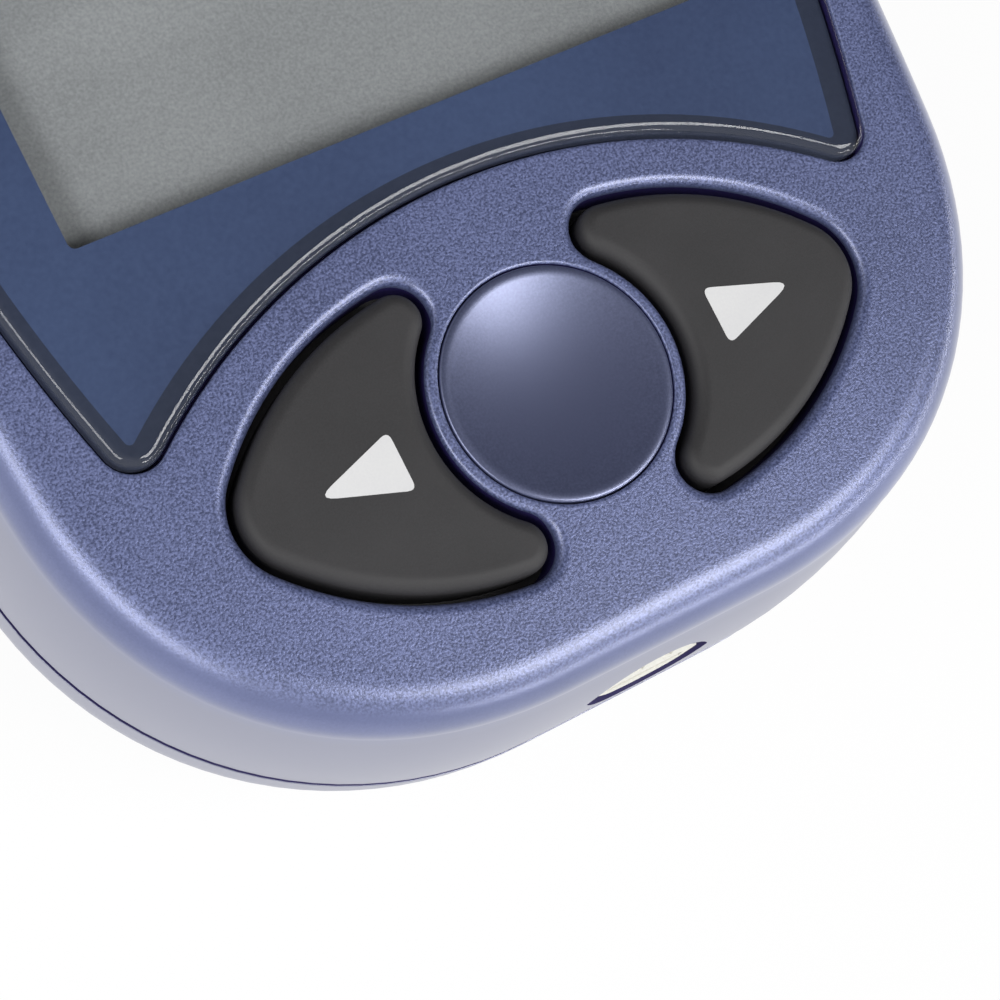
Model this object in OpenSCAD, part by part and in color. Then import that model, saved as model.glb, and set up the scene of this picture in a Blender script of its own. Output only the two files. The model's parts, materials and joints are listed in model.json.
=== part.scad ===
/* [Case] */
// Length of the case, from the strip end to the display end
case_length = 104; // [100:1:130]
// Width of the case at its widest
case_width = 52.7; // [50:0.1:66]
// Height of the front face above the rest face
face_height = 21.5; // [21:0.5:27]
// Height of the line where the two shells meet
parting_height = 10.5; // [9.8:0.1:11]
// Thickness of the back shell's floor
back_wall = 2; // [1.6:0.1:2.4]
// Thickness of the front shell's face
front_wall = 2.2; // [2:0.1:2.8]
// Thickness of the side walls
side_wall = 1.8; // [1.5:0.1:2.2]
// How far the front shell's walls lean in by the time they reach the edge rounding
wall_lean = 0.7; // [0.4:0.05:1.2]
// How much further they lean in where they face the strip end
end_lean = 0.65; // [0:0.05:0.8]
// How far that lean is gathered towards the top of the walls, where 1 gives straight walls
wall_curve = 2.2; // [1:0.1:3.5]
// Radius of the rounding round the front face
edge_round = 2.2; // [1.5:0.1:2.8]
// Width of the rounding under the back shell
back_round_width = 7.5; // [6:0.5:8.5]
// Height of the rounding under the back shell
back_round_height = 9; // [7:0.5:9.5]

/* [Case outline] */
// Distance of the widest place from the strip end
widest_from_end = 42.5; // [38:0.5:50]
// How far each long side has drawn in from the widest place by the display end
side_draw_in = 6.99; // [5:0.01:8.5]
// Radius across the strip end
strip_end_radius = 1200; // [250:10:2000]
// Radius of the two corners at the strip end
strip_corner_radius = 20; // [16:0.2:22]
// Radius across the display end
display_end_radius = 75; // [60:1:110]
// Radius of the two corners at the display end
display_corner_radius = 19; // [15:0.5:22]

/* [Keys and disc] */
// Distance of the disc's centre from the strip end
disc_from_end = 13.9; // [13.5:0.1:16]
// Radius of the dished disc
disc_radius = 5.5; // [4.5:0.1:5.7]
// Thickness of the disc at its rim
disc_thickness = 1.3; // [1:0.1:1.5]
// Depth of the disc's dish
dish_depth = 0.55; // [0.3:0.05:0.7]
// Radius of the hollow side of a key opening, about the disc's centre
key_inner_radius = 6.16; // [5.9:0.02:6.6]
// Radius of the two long sides of a key opening
key_side_radius = 15.7; // [15:0.1:16.5]
// Distance of the outer tip of a key opening from the middle of the case
key_reach = 16.45; // [15.8:0.05:17]
// Radius of that tip
key_tip_radius = 3.3; // [3:0.1:3.6]
// Radius of the two horns of a key opening
key_horn_radius = 1.65; // [1.5:0.05:1.9]
// How far the middle line of a key lies towards the strip end of the disc's centre
key_drop = 0.2; // [0:0.05:0.5]
// Gap between a key and its opening
key_gap = 0.4; // [0.25:0.05:0.5]
// Height of a key's crown above the front face
key_rise = 0.3; // [0.1:0.05:0.45]
// Rounding of a key's crown
key_round = 0.7; // [0.4:0.05:0.8]
// Travel of a key when it is pressed
key_travel = 0.5; // [0.3:0.05:0.6]
// How far a key's flange reaches under the front shell
flange_reach = 0.9; // [0.6:0.1:1.1]
// Thickness of that flange
flange_thickness = 1.2; // [0.8:0.1:1.4]

/* [Lens and display] */
// Width of the part of the display that shows
view_width = 34.4; // [30:0.2:35.2]
// Height of the part of the display that shows
view_height = 46; // [36:0.5:47]
// Distance from the disc's centre to the near edge of that part
view_from_disc = 14; // [13.4:0.1:15.5]
// Border of the display outside the part that shows
display_border = 2; // [1.6:0.1:2.2]
// Thickness of the display
display_thickness = 2; // [1.6:0.1:2.4]
// Width of the lens at its widest
lens_width = 45.6; // [44.6:0.1:46.4]
// Thickness of the lens
lens_thickness = 1.6; // [1.3:0.1:1.7]
// Height of the lens's crown above the front face
lens_rise = 0.5; // [0.3:0.05:0.7]
// Gap round the lens in its pocket
lens_gap = 0.12; // [0.05:0.01:0.2]
// Thickness of the adhesive under the lens
adhesive_thickness = 0.15; // [0.1:0.05:0.2]
// Distance from the disc's centre to the middle of the lens's hollow edge
lens_from_disc = 10.34; // [10:0.02:11.4]
// Radius of the lens's hollow edge
lens_hollow_radius = 28.9; // [28:0.1:30]
// Distance of the lens's widest place from the disc's centre
lens_widest_from_disc = 26; // [24:0.5:28]
// Radius of the lens's sides near the keys
lens_near_radius = 80; // [76:1:90]
// How far each side of the lens has drawn in from its widest place by its far edge
lens_draw_in = 5.52; // [4:0.01:7]
// Radius of the lens's lower corners
lens_corner_radius = 1.5; // [1.2:0.1:2]
// Distance from the display end to the middle of the lens's far edge
lens_from_top = 14; // [13:0.5:18]
// Radius of the lens's far edge
lens_top_radius = 52; // [45:1:65]
// Radius of the lens's upper corners
lens_top_corner_radius = 8; // [6:0.5:9]

/* [Board and switches] */
// Height of the board's underside
board_height = 10; // [9.4:0.1:10.2]
// Thickness of the board
board_thickness = 1.6; // [1.2:0.1:1.8]
// Gap between the board and the side walls
board_gap = 1.2; // [0.8:0.1:1.5]
// Side of a key switch's square body
switch_side = 6; // [5:0.5:6.5]
// Height of a key switch's body
switch_height = 3.5; // [3:0.1:3.8]
// Radius of a switch's plunger
plunger_radius = 1.7; // [1.3:0.1:1.9]
// Height of a key's underside above its switch's body
plunger_rise = 1.5; // [1.2:0.1:1.6]
// Running clearance of a plunger in its switch
plunger_clearance = 0.05; // [0.03:0.01:0.08]

/* [Strip port] */
// Height of the middle of the strip opening
port_height = 15.2; // [14.8:0.1:15.8]
// Width of the eye-shaped strip opening
port_opening_width = 6.8; // [6:0.1:8.4]
// Height of the eye-shaped strip opening
port_opening_height = 4.6; // [4.4:0.1:5]
// Gap above and below the port's nose in that opening
port_gap = 0.6; // [0.5:0.05:0.7]
// Gap on either side of the port's nose in that opening
port_side_gap = 0.5; // [0.4:0.05:0.6]
// Width of the slot that takes a test strip
strip_slot_width = 4.2; // [3.8:0.1:4.4]
// Height of the slot that takes a test strip
strip_slot_height = 0.8; // [0.6:0.05:0.9]
// Length of the port's body behind the wall
port_length = 9; // [8:0.5:9.5]

/* [Battery] */
// Diameter of the coin cell
cell_diameter = 20; // [20:0.5:24]
// Thickness of the coin cell
cell_thickness = 3.2; // [2.5:0.1:3.2]
// Thickness of the battery door's plate
door_wall = 1.8; // [1.5:0.1:1.9]
// Length of the battery door along the case
door_length = 38; // [36:0.5:42]
// Height of the battery door's end wall
door_height = 6; // [5.5:0.1:6.2]
// Gap round the battery door
door_gap = 0.2; // [0.15:0.05:0.3]

/* [Screws] */
// Radius of a case screw's shank
screw_radius = 0.98; // [0.8:0.02:1.05]
// Radius of a case screw's head
screw_head_radius = 1.9; // [1.7:0.1:2]
// Radius of a front shell's screw boss
boss_radius = 2.4; // [2.1:0.1:2.6]

/* [Hidden] */
$fn = 48;

half_length = case_length / 2;
half_width = case_width / 2;
disc_y = disc_from_end - half_length;
key_axis_y = disc_y - key_drop;
face_underside = face_height - front_wall;
board_top = board_height + board_thickness;
shell_colour = [0.38, 0.42, 0.62];
cut = 1;  // how far a cut runs past the face that it opens
weld = 0.2;  // how far joined shapes run into each other

// ---- arcs and outlines --------------------------------------------------------------------

function arc(c, r, a0, a1, n) = [for (i = [0:n]) let (a = a0 + (a1 - a0) * i / n)
    c + r * [cos(a), sin(a)]];
function bearing(p, q) = atan2(q.y - p.y, q.x - p.x);
// The point rp from p and rq from q, to the left of the way from p to q, or the right for side -1
function meet(p, rp, q, rq, side) = let (v = q - p, l = norm(v),
    a = (rp * rp - rq * rq + l * l) / (2 * l), h = sqrt(rp * rp - a * a))
    p + a * v / l + side * h * [-v.y, v.x] / l;
function tail(list) = [for (i = [1:len(list) - 1]) list[i]];
function backwards(list) = [for (i = [len(list) - 1:-1:0]) list[i]];
function mirrored(list) = [for (p = backwards(list)) [-p.x, p.y]];
function closed_up(half) = let (m = mirrored(half)) concat(half, [for (i = [1:len(half) - 2]) m[i]]);
function raised(outline, z) = [for (p = outline) [p.x, p.y, z]];

// Radius of the arc that moves aside by rise over a run along its tangent
function bow_radius(run, rise) = (run * run + rise * rise) / (2 * rise);

// The case's outline at the parting line, moved outwards by d and drawn in by e at the strip end
side_radius = bow_radius(case_length - widest_from_end, side_draw_in);
strip_end = [0, strip_end_radius - half_length];
display_end = [0, half_length - display_end_radius];
side_centre = [half_width - side_radius, widest_from_end - half_length];
strip_corner = meet(strip_end, strip_end_radius - strip_corner_radius,
    side_centre, side_radius - strip_corner_radius, 1);
display_corner = meet(display_end, display_end_radius - display_corner_radius,
    side_centre, side_radius - display_corner_radius, -1);
case_arcs = [
    [strip_end, strip_end_radius, -90, bearing(strip_end, strip_corner), 1],
    [strip_corner, strip_corner_radius, bearing(strip_end, strip_corner),
        bearing(side_centre, strip_corner), 12],
    [side_centre, side_radius, bearing(side_centre, strip_corner),
        bearing(side_centre, display_corner), 9],
    [display_corner, display_corner_radius, bearing(side_centre, display_corner),
        bearing(display_end, display_corner), 11],
    [display_end, display_end_radius, bearing(display_end, display_corner), 90, 4]];
function drawn_in(points, centre, e) =
    [for (p = points) let (out = (p - centre) / norm(p - centre)) p - e * pow(min(0, out.y), 6) * out];
function case_half(d, e) = concat([[0, e - half_length - d]],
    [for (k = case_arcs) each drawn_in(tail(arc(k[0], k[1] + d, k[2], k[3], k[4])), k[0], e)]);
function case_ring(d, e = 0) = closed_up(case_half(d, e));
// Half the width of the case at a place along it, on the long side's arc
function side_x(y) = side_centre.x + sqrt(pow(side_radius, 2) - pow(y - side_centre.y, 2));

// The lens's outline, moved outwards by d
lens_half = lens_width / 2;
lens_hollow = [0, disc_y + lens_from_disc - lens_hollow_radius];
lens_widest_y = disc_y + lens_widest_from_disc;
lens_near = [lens_half - lens_near_radius, lens_widest_y];
lens_far_radius = bow_radius(half_length - lens_from_top - lens_widest_y, lens_draw_in);
lens_far = [lens_half - lens_far_radius, lens_widest_y];
lens_top = [0, half_length - lens_from_top - lens_top_radius];
lens_corner = meet(lens_hollow, lens_hollow_radius + lens_corner_radius,
    lens_near, lens_near_radius - lens_corner_radius, -1);
lens_top_corner = meet(lens_top, lens_top_radius - lens_top_corner_radius,
    lens_far, lens_far_radius - lens_top_corner_radius, -1);
function lens_outline(d) = closed_up(concat(
    backwards(arc(lens_hollow, lens_hollow_radius - d, bearing(lens_hollow, lens_corner), 90, 10)),
    tail(arc(lens_corner, lens_corner_radius + d, bearing(lens_corner, lens_hollow),
        bearing(lens_near, lens_corner), 6)),
    tail(arc(lens_near, lens_near_radius + d, bearing(lens_near, lens_corner), 0, 5)),
    tail(arc(lens_far, lens_far_radius + d, 0, bearing(lens_far, lens_top_corner), 5)),
    tail(arc(lens_top_corner, lens_top_corner_radius + d, bearing(lens_far, lens_top_corner),
        bearing(lens_top, lens_top_corner), 6)),
    tail(arc(lens_top, lens_top_radius + d, bearing(lens_top, lens_top_corner), 90, 5))));

// The outline of the right-hand key opening, moved outwards by d
key_tip = [key_reach - key_tip_radius, key_axis_y];
// Both long sides are centred on one line across the case, found from the tip and the radii
key_side_x = 3.9;
key_side_off = sqrt(pow(key_side_radius - key_tip_radius, 2) - pow(key_tip.x - key_side_x, 2));
key_upper = [key_side_x, key_axis_y - key_side_off];
key_lower = [key_side_x, key_axis_y + key_side_off];
disc_centre = [0, disc_y];
horn_up = meet(disc_centre, key_inner_radius + key_horn_radius,
    key_upper, key_side_radius - key_horn_radius, 1);
horn_down = meet(disc_centre, key_inner_radius + key_horn_radius,
    key_lower, key_side_radius - key_horn_radius, -1);
function key_outline(d) = concat(
    arc(key_tip, key_tip_radius + d, bearing(key_lower, key_tip), bearing(key_upper, key_tip), 6),
    tail(arc(key_upper, key_side_radius + d, bearing(key_upper, key_tip),
        bearing(key_upper, horn_up), 7)),
    tail(arc(horn_up, key_horn_radius + d, bearing(key_upper, horn_up),
        bearing(horn_up, disc_centre) + 360, 7)),
    tail(arc(disc_centre, key_inner_radius - d, bearing(disc_centre, horn_up),
        bearing(disc_centre, horn_down), 9)),
    tail(arc(horn_down, key_horn_radius + d, bearing(horn_down, disc_centre),
        bearing(key_lower, horn_down) + 360, 7)),
    let (last = arc(key_lower, key_side_radius + d, bearing(key_lower, horn_down),
        bearing(key_lower, key_tip), 7)) [for (i = [1:6]) last[i]]);

// ---- helpers ------------------------------------------------------------------------------

// A solid through rings of the same number of points, from the lowest up
module loft(rings) {
    n = len(rings[0]);
    last = len(rings) - 1;
    polyhedron(
        points = [for (r = rings) each r],
        faces = concat([[for (i = [0:n - 1]) i]], [[for (i = [n - 1:-1:0]) last * n + i]],
            [for (k = [0:last - 1], i = [0:n - 1]) let (j = (i + 1) % n)
                [k * n + i, (k + 1) * n + i, (k + 1) * n + j, k * n + j]]));
}

// A solid of the case's outline through levels of [height, offset, share of the lean]
module case_loft(levels) {
    loft([for (l = levels) raised(case_ring(l[1] - wall_lean * l[2], end_lean * l[2]), l[0])]);
}

module plate(outline, low, high) {
    translate([0, 0, low])
        linear_extrude(high - low)
            polygon(outline);
}

module box(low, high) {
    translate(low)
        cube(high - low);
}

// A strip of sheet metal of the given thickness along a path of [y, z] points, centred at x
module metal_strip(path, thickness, width, x) {
    last = len(path) - 1;
    normals = [for (i = [0:last - 1]) let (v = path[i + 1] - path[i]) [-v.y, v.x] / norm(v)];
    mitres = [for (i = [0:last]) let (a = normals[max(i - 1, 0)], b = normals[min(i, last - 1)])
        (a + b) / (1 + a * b)];
    edge = [for (i = [0:last]) path[i] + mitres[i] * thickness / 2];
    other = [for (i = [last:-1:0]) path[i] - mitres[i] * thickness / 2];
    translate([x - width / 2, 0, 0])
        rotate([90, 0, 90])
            linear_extrude(width)
                polygon(concat(edge, other));
}

// ---- shells -------------------------------------------------------------------------------

lip_height = 1.2;
lip_gap = 0.1;
boss_clear = 0.02;
screw_clear = 0.3;
screw_head_height = 1.3;
screw_seat = 5;  // height of the ledge that a screw's head pulls on
screw_length = 11;
head_space = screw_head_radius + screw_clear;
back_boss_wall = 0.8;

cell_side_space = 3;  // from the cell to the door's side edge
cell_end_space = 3.5;  // from the cell to the door's inner edge
contact_space = 1.15;  // between the cell and the roof over it
pad_thickness = 0.45;
pad_gap = 0.2;
door_half = cell_diameter / 2 + cell_side_space;
door_start = half_length - door_length;
cell_y = door_start + cell_diameter / 2 + cell_end_space;
cell_low = door_wall + pad_thickness + pad_gap;
cell_top = cell_low + cell_thickness;
tongue_reach = 1.4;
tongue_low = back_wall + 0.15;
tongue_height = 0.9;
tub_wall = 1.2;
tub_end_wall = 1;
tub_roof = cell_top + contact_space;
tub_start = door_start - tongue_reach - 0.4;
tub_half = door_half + door_gap;
contact_slot = [2.6, 0.9];

near_screw_y = disc_y + 6.6;
near_screw_inset = 7.2;
far_screw_y = half_length - 19;
far_screw_inset = 5.6;
far_screw_x = max(side_x(far_screw_y) - far_screw_inset, tub_half + head_space + back_boss_wall);
screw_places = [for (s = [-1, 1]) each [[s * (side_x(near_screw_y) - near_screw_inset), near_screw_y],
    [s * far_screw_x, far_screw_y]]];

back_outer = concat([for (i = [0:6]) let (a = 15 * i)
    [back_round_height * (1 - cos(a)), back_round_width * (sin(a) - 1), 0]], [[parting_height, 0, 0]]);
back_inner = concat([for (i = [0:4]) let (a = 22.5 * i)
    [back_wall + (back_round_height - back_wall) * (1 - cos(a)),
        (back_round_width - side_wall) * (sin(a) - 1) - side_wall, 0]],
    [[parting_height + lip_height + cut, -side_wall, 0]]);
wall_height = face_height - edge_round - parting_height;
function lean_share(z) = pow((z - parting_height) / wall_height, wall_curve);
front_outer = concat([for (i = [0:5]) let (z = parting_height + wall_height * i / 5)
    [z, 0, lean_share(z)]], [for (i = [1:5]) let (a = 18 * i)
    [face_height - edge_round * (1 - sin(a)), -edge_round * (1 - cos(a)), 1]]);
inner_round = 1.2;
front_inner = [[parting_height - cut, -side_wall, 0],
    [face_underside - inner_round, -side_wall, 1],
    [face_underside, -side_wall - inner_round, 1]];

module place_screws() {
    for (p = screw_places)
        translate([p.x, p.y, 0])
            children();
}

// The space that the battery door fills, larger all round by the gap
module door_space() {
    box([-tub_half, door_start - door_gap, -cut],
        [tub_half, half_length + cut, door_height + door_gap]);
}

module battery_tub() {
    intersection() {
        box([-tub_half - tub_wall, tub_start - tub_wall, 0],
            [tub_half + tub_wall, half_length, tub_roof + tub_wall]);
        case_loft(back_outer);
    }
}

slide_gap = 0.25;
rail_width = 1;
rail_height = 0.9;
rail_start = door_start + 1;
// The rails end where the back starts to curve up beside them
rail_end = display_corner.y + sqrt(max(0, pow(display_corner_radius - back_round_width, 2)
    - pow(tub_half - display_corner.x, 2)));
rail_low = door_wall + slide_gap;

// The round nest that keeps the cell in place, open towards the display end for a fingernail
module cell_nest() {
    nest_radius = cell_diameter / 2 + 0.2;
    nest_wall = 0.8;
    nest_low = tongue_low + tongue_height + slide_gap;
    opening_half = cell_diameter * 0.3;
    difference() {
        translate([0, cell_y, nest_low])
            cylinder(r = nest_radius + nest_wall, h = tub_roof + weld - nest_low);
        translate([0, cell_y, 0])
            cylinder(r = nest_radius, h = tub_roof + cut);
        box([-opening_half, cell_y, 0], [opening_half, half_length, tub_roof + cut]);
    }
}

// One of the two rails that the door's hooks run on
module door_rail() {
    box([tub_half - rail_width, rail_start, rail_low],
        [tub_half + weld, rail_end, rail_low + rail_height]);
}

module bottom_shell() {
    difference() {
        union() {
            difference() {
                case_loft(back_outer);
                case_loft(back_inner);
            }
            difference() {
                plate(case_ring(-side_wall / 2 - lip_gap / 2), parting_height - cut,
                    parting_height + lip_height);
                plate(case_ring(-side_wall), parting_height - 2 * cut,
                    parting_height + lip_height + cut);
            }
            battery_tub();
            intersection() {
                place_screws()
                    cylinder(r = head_space + back_boss_wall, h = board_height);
                case_loft(back_outer);
            }
        }
        door_space();
        box([-tub_half, tub_start, back_wall],
            [tub_half, half_length - side_wall - tub_end_wall, tub_roof]);
        place_screws() {
            translate([0, 0, -cut])
                cylinder(r = head_space, h = screw_seat + cut);
            cylinder(r = screw_radius + screw_clear, h = board_height + cut);
        }
        contact_slots();
    }
}

module bottom_housing() {
    color(shell_colour) {
        bottom_shell();
        door_rail();
        mirror([1, 0, 0])
            door_rail();
        cell_nest();
    }
}

// Slots in the battery tub's roof for the tails of the two contacts
negative_tail_y = cell_y - 4.5;
positive_tail_y = cell_y + cell_diameter / 2 + 1.9;
module contact_slots() {
    for (y = [negative_tail_y, positive_tail_y])
        box([-contact_slot.x / 2, y - contact_slot.y / 2, tub_roof - cut],
            [contact_slot.x / 2, y + contact_slot.y / 2, tub_roof + tub_wall + cut]);
}

pocket_floor = face_height + lens_rise - lens_thickness - adhesive_thickness;
window_margin = 1;
window_low = [-view_width / 2 - window_margin, disc_y + view_from_disc - window_margin];
window_high = [view_width / 2 + window_margin,
    disc_y + view_from_disc + view_height + window_margin];
disc_gap = 0.12;
boss_pilot = screw_radius + boss_clear;
boss_roof = 1.4;  // solid end of a boss under the face

// An eye: where two circles of the same size overlap
module eye(width, height) {
    r = (pow(width / 2, 2) + pow(height / 2, 2)) / height;
    intersection_for (s = [-1, 1])
        translate([0, s * (r - height / 2)])
            circle(r = r, $fn = 96);
}

module port_prism(width, height, low_y, high_y) {
    translate([0, high_y, port_height])
        rotate([90, 0, 0])
            linear_extrude(high_y - low_y)
                eye(width, height);
}

module top_housing() {
    color(shell_colour)
    difference() {
        union() {
            difference() {
                case_loft(front_outer);
                case_loft(front_inner);
                plate(case_ring(-side_wall / 2 + lip_gap / 2), parting_height - cut,
                    parting_height + lip_height + lip_gap);
            }
            place_screws()
                translate([0, 0, board_top])
                    cylinder(r = boss_radius, h = face_underside - board_top + front_wall / 4);
        }
        place_screws()
            translate([0, 0, board_top - cut])
                cylinder(r = boss_pilot, h = face_underside - board_top - boss_roof + cut);
        plate(lens_outline(lens_gap), pocket_floor, face_height + cut);
        box([window_low.x, window_low.y, face_underside - cut],
            [window_high.x, window_high.y, face_height + cut]);
        plate(key_outline(0), face_underside - cut, face_height + cut);
        mirror([1, 0, 0])
            plate(key_outline(0), face_underside - cut, face_height + cut);
        translate([0, disc_y, face_height - disc_thickness])
            cylinder(r = disc_radius + disc_gap, h = disc_thickness + cut);
        port_prism(port_opening_width, port_opening_height, -half_length - cut,
            -half_length + 2 * side_wall + wall_lean + end_lean);
    }
}

// ---- lens and display ---------------------------------------------------------------------

lens_low = pocket_floor + adhesive_thickness;
lens_round_width = 0.6;
lens_round_height = 0.6;
lens_edges = concat([[0, 0]], [for (i = [0:3]) let (a = 30 * i)
    [lens_thickness - lens_round_height * (1 - sin(a)), -lens_round_width * (1 - cos(a))]]);

module display_lens() {
    color([0.16, 0.22, 0.36])
        loft([for (e = lens_edges) raised(lens_outline(e[1]), lens_low + e[0])]);
}

module lens_adhesive() {
    adhesive_inset = 0.6;
    color([0.15, 0.15, 0.16])
    difference() {
        plate(lens_outline(-adhesive_inset), pocket_floor, lens_low);
        box([window_low.x, window_low.y, pocket_floor - cut],
            [window_high.x, window_high.y, lens_low + cut]);
    }
}

panel_low = [-view_width / 2 - display_border, disc_y + view_from_disc - display_border];
panel_high = [view_width / 2 + display_border,
    disc_y + view_from_disc + view_height + display_border];
gasket_thickness = 0.3;
panel_top = face_underside - gasket_thickness;
panel_base = panel_top - display_thickness;
frame_wall = 1.2;
frame_gap = 0.15;

module display_gasket() {
    color([0.1, 0.1, 0.1])
    difference() {
        box([panel_low.x, panel_low.y, panel_top], [panel_high.x, panel_high.y, face_underside]);
        box([window_low.x, window_low.y, panel_top - cut],
            [window_high.x, window_high.y, face_underside + cut]);
    }
}

module display_panel() {
    color([0.53, 0.55, 0.54])
        box([panel_low.x, panel_low.y, panel_base], [panel_high.x, panel_high.y, panel_top]);
}

module display_frame() {
    reach = frame_gap + frame_wall;
    shelf_width = 1.8;
    color([0.92, 0.92, 0.9])
    difference() {
        box([panel_low.x - reach, panel_low.y - reach, board_top],
            [panel_high.x + reach, panel_high.y + reach, panel_top - display_thickness / 4]);
        box([panel_low.x - frame_gap, panel_low.y - frame_gap, panel_base],
            [panel_high.x + frame_gap, panel_high.y + frame_gap, panel_top + cut]);
        box([panel_low.x + shelf_width, panel_low.y - frame_gap, board_top - cut],
            [panel_high.x - shelf_width, panel_high.y + frame_gap, panel_top + cut]);
    }
}

module display_connectors() {
    bar_width = 2;
    bar_inset = 0.2;
    bar_end_inset = 2.4;
    color([0.85, 0.45, 0.6])
    for (y = [panel_low.y + bar_inset, panel_high.y - bar_inset - bar_width])
        box([panel_low.x + bar_end_inset, y, board_top],
            [panel_high.x - bar_end_inset, y + bar_width, panel_base]);
}

// ---- disc and keys ------------------------------------------------------------------------

module centre_disc() {
    rim = 0.35;
    dish_edge = disc_radius - rim;
    dish_radius = (pow(dish_edge, 2) + pow(dish_depth, 2)) / (2 * dish_depth);
    color([0.4, 0.44, 0.64])
    difference() {
        translate([0, disc_y, face_height - disc_thickness])
            cylinder(r = disc_radius, h = disc_thickness);
        translate([0, disc_y, face_height + dish_radius - dish_depth])
            sphere(r = dish_radius, $fn = 160);
    }
}

key_x = 10.2;
key_base = board_top + switch_height + plunger_rise;
key_top = face_height + key_rise;
flange_gap = 0.2;
flange_top = face_underside - flange_gap;
flange_low = flange_top - flange_thickness;
key_crown = [for (i = [0:3]) let (a = 30 * i)
    [key_top - key_round * (1 - sin(a)), -key_gap - key_round * (1 - cos(a))]];

module key_shape() {
    plate(key_outline(flange_reach), flange_low, flange_top);
    loft(concat([raised(key_outline(-key_gap), key_base)],
        [for (c = key_crown) raised(key_outline(c[1]), c[0])]));
}

module right_key() {
    color([0.2, 0.2, 0.2])
        key_shape();
}

module left_key() {
    color([0.2, 0.2, 0.2])
        mirror([1, 0, 0])
            key_shape();
}

plunger_hold = 1.15;  // length of plunger inside its switch when the key is up
plunger_rest = 0.25;  // left under the plunger when its key is fully pressed
bore_depth = plunger_hold + key_travel + plunger_rest;
module key_switch(x) {
    foot = [1.2, 0.7, 0.25];
    color([0.12, 0.12, 0.13])
    difference() {
        union() {
            box([x - switch_side / 2, key_axis_y - switch_side / 2, board_top],
                [x + switch_side / 2, key_axis_y + switch_side / 2, board_top + switch_height]);
            for (sx = [-1, 1], sy = [-1, 1])
                translate([x + sx * (switch_side + foot.x) / 2 - foot.x / 2,
                    key_axis_y + sy * switch_side / 3 - foot.y / 2, board_top])
                    cube(foot);
        }
        translate([x, key_axis_y, board_top + switch_height - bore_depth])
            cylinder(r = plunger_radius + plunger_clearance, h = bore_depth + cut);
    }
}

module plunger(x) {
    low = board_top + switch_height - plunger_hold;
    color([0.85, 0.85, 0.82])
        translate([x, key_axis_y, low])
            cylinder(r = plunger_radius, h = key_base - low);
}

module left_switch() key_switch(-key_x);
module right_switch() key_switch(key_x);
module left_plunger() plunger(-key_x);
module right_plunger() plunger(key_x);

// ---- board and what is soldered to it -----------------------------------------------------

module main_board() {
    color([0.1, 0.35, 0.2])
    difference() {
        plate(case_ring(-side_wall - board_gap), board_height, board_top);
        place_screws()
            translate([0, 0, board_height - cut])
                cylinder(r = screw_radius + screw_clear, h = board_thickness + 2 * cut);
    }
}

// A chip with legs along two sides, or along all four
module chip(centre, size, legs, pitch, leg, all_sides) {
    translate([centre.x, centre.y, board_top]) {
        translate([-size.x / 2, -size.y / 2, leg.z / 2])
            cube(size);
        for (turn = all_sides ? [0:3] : [0, 2])
            rotate(90 * turn)
                for (i = [0:legs - 1])
                    translate([(i - (legs - 1) / 2) * pitch - leg.x / 2, size.y / 2 - weld, 0])
                        cube([leg.x, leg.y + weld, leg.z]);
    }
}

display_y = (panel_low.y + panel_high.y) / 2;
end_parts_y = half_length - 13;

module microcontroller() {
    color([0.08, 0.08, 0.09])
        chip([-2, display_y - 2], [12, 12, 1.2], 10, 1, [0.4, 1, 0.4], true);
}

module memory_chip() {
    color([0.08, 0.08, 0.09])
        chip([9, display_y + 10], [5, 4, 1.4], 4, 1.27, [0.45, 0.9, 0.4], false);
}

module crystal() {
    can_radius = 1;
    can_length = 6;
    color([0.75, 0.76, 0.78])
        translate([-12, display_y - 8, board_top + can_radius])
            rotate([-90, 0, 0])
                cylinder(r = can_radius, h = can_length);
}

module buzzer() {
    radius = 4.6;
    height = 3.4;
    hole_radius = 0.9;
    hole_depth = 1;
    color([0.1, 0.1, 0.1])
    difference() {
        translate([0, end_parts_y, board_top])
            cylinder(r = radius, h = height);
        translate([0, end_parts_y, board_top + height - hole_depth])
            cylinder(r = hole_radius, h = hole_depth + cut);
    }
}

module thermistor() {
    color([0.5, 0.42, 0.3])
        translate([8.5, disc_y - 8.6, board_top])
            cube([1.6, 0.8, 0.8]);
}

module capacitors() {
    spacing = 21;
    radius = 2;
    height = 4.4;
    color([0.72, 0.74, 0.76])
    for (s = [-1, 1])
        translate([s * spacing / 2, end_parts_y, board_top])
            cylinder(r = radius, h = height);
}

// Small parts in rows beside the microcontroller
module chip_parts() {
    part = [1.6, 0.8, 0.5];
    pitch = [2.6, 2];
    first = [-14, display_y - 16];
    color([0.62, 0.52, 0.4])
    for (row = [0:1], i = [0:5])
        translate([first.x + pitch.x * i, first.y + pitch.y * row, board_top])
            cube(part);
}

// ---- strip port ---------------------------------------------------------------------------

nose_inset = 0.2;
wall_to_port = 0.35;
key_to_port = 0.3;  // left between the port and a key that is fully pressed
slot_drop = 0.7;  // from the middle of the opening to the slot's floor
slot_low = port_height - slot_drop;
slot_high = slot_low + strip_slot_height;
nose_front = -half_length + (wall_lean + end_lean) * lean_share((slot_low + slot_high) / 2)
    + nose_inset;
port_front = -half_length + side_wall + wall_lean + end_lean + wall_to_port;
port_back = port_front + port_length;
port_half = 3.7;
port_roof = flange_low - key_travel - key_to_port;
slot_end_wall = 1.2;
finger_pitch = 1.3;
finger_width = 0.8;
finger_sheet = 0.2;
finger_gap = 0.05;
finger_tip = port_front + 3;
groove_width = 1;
groove_depth = 0.75;
groove_high = slot_high + groove_depth;

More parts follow.
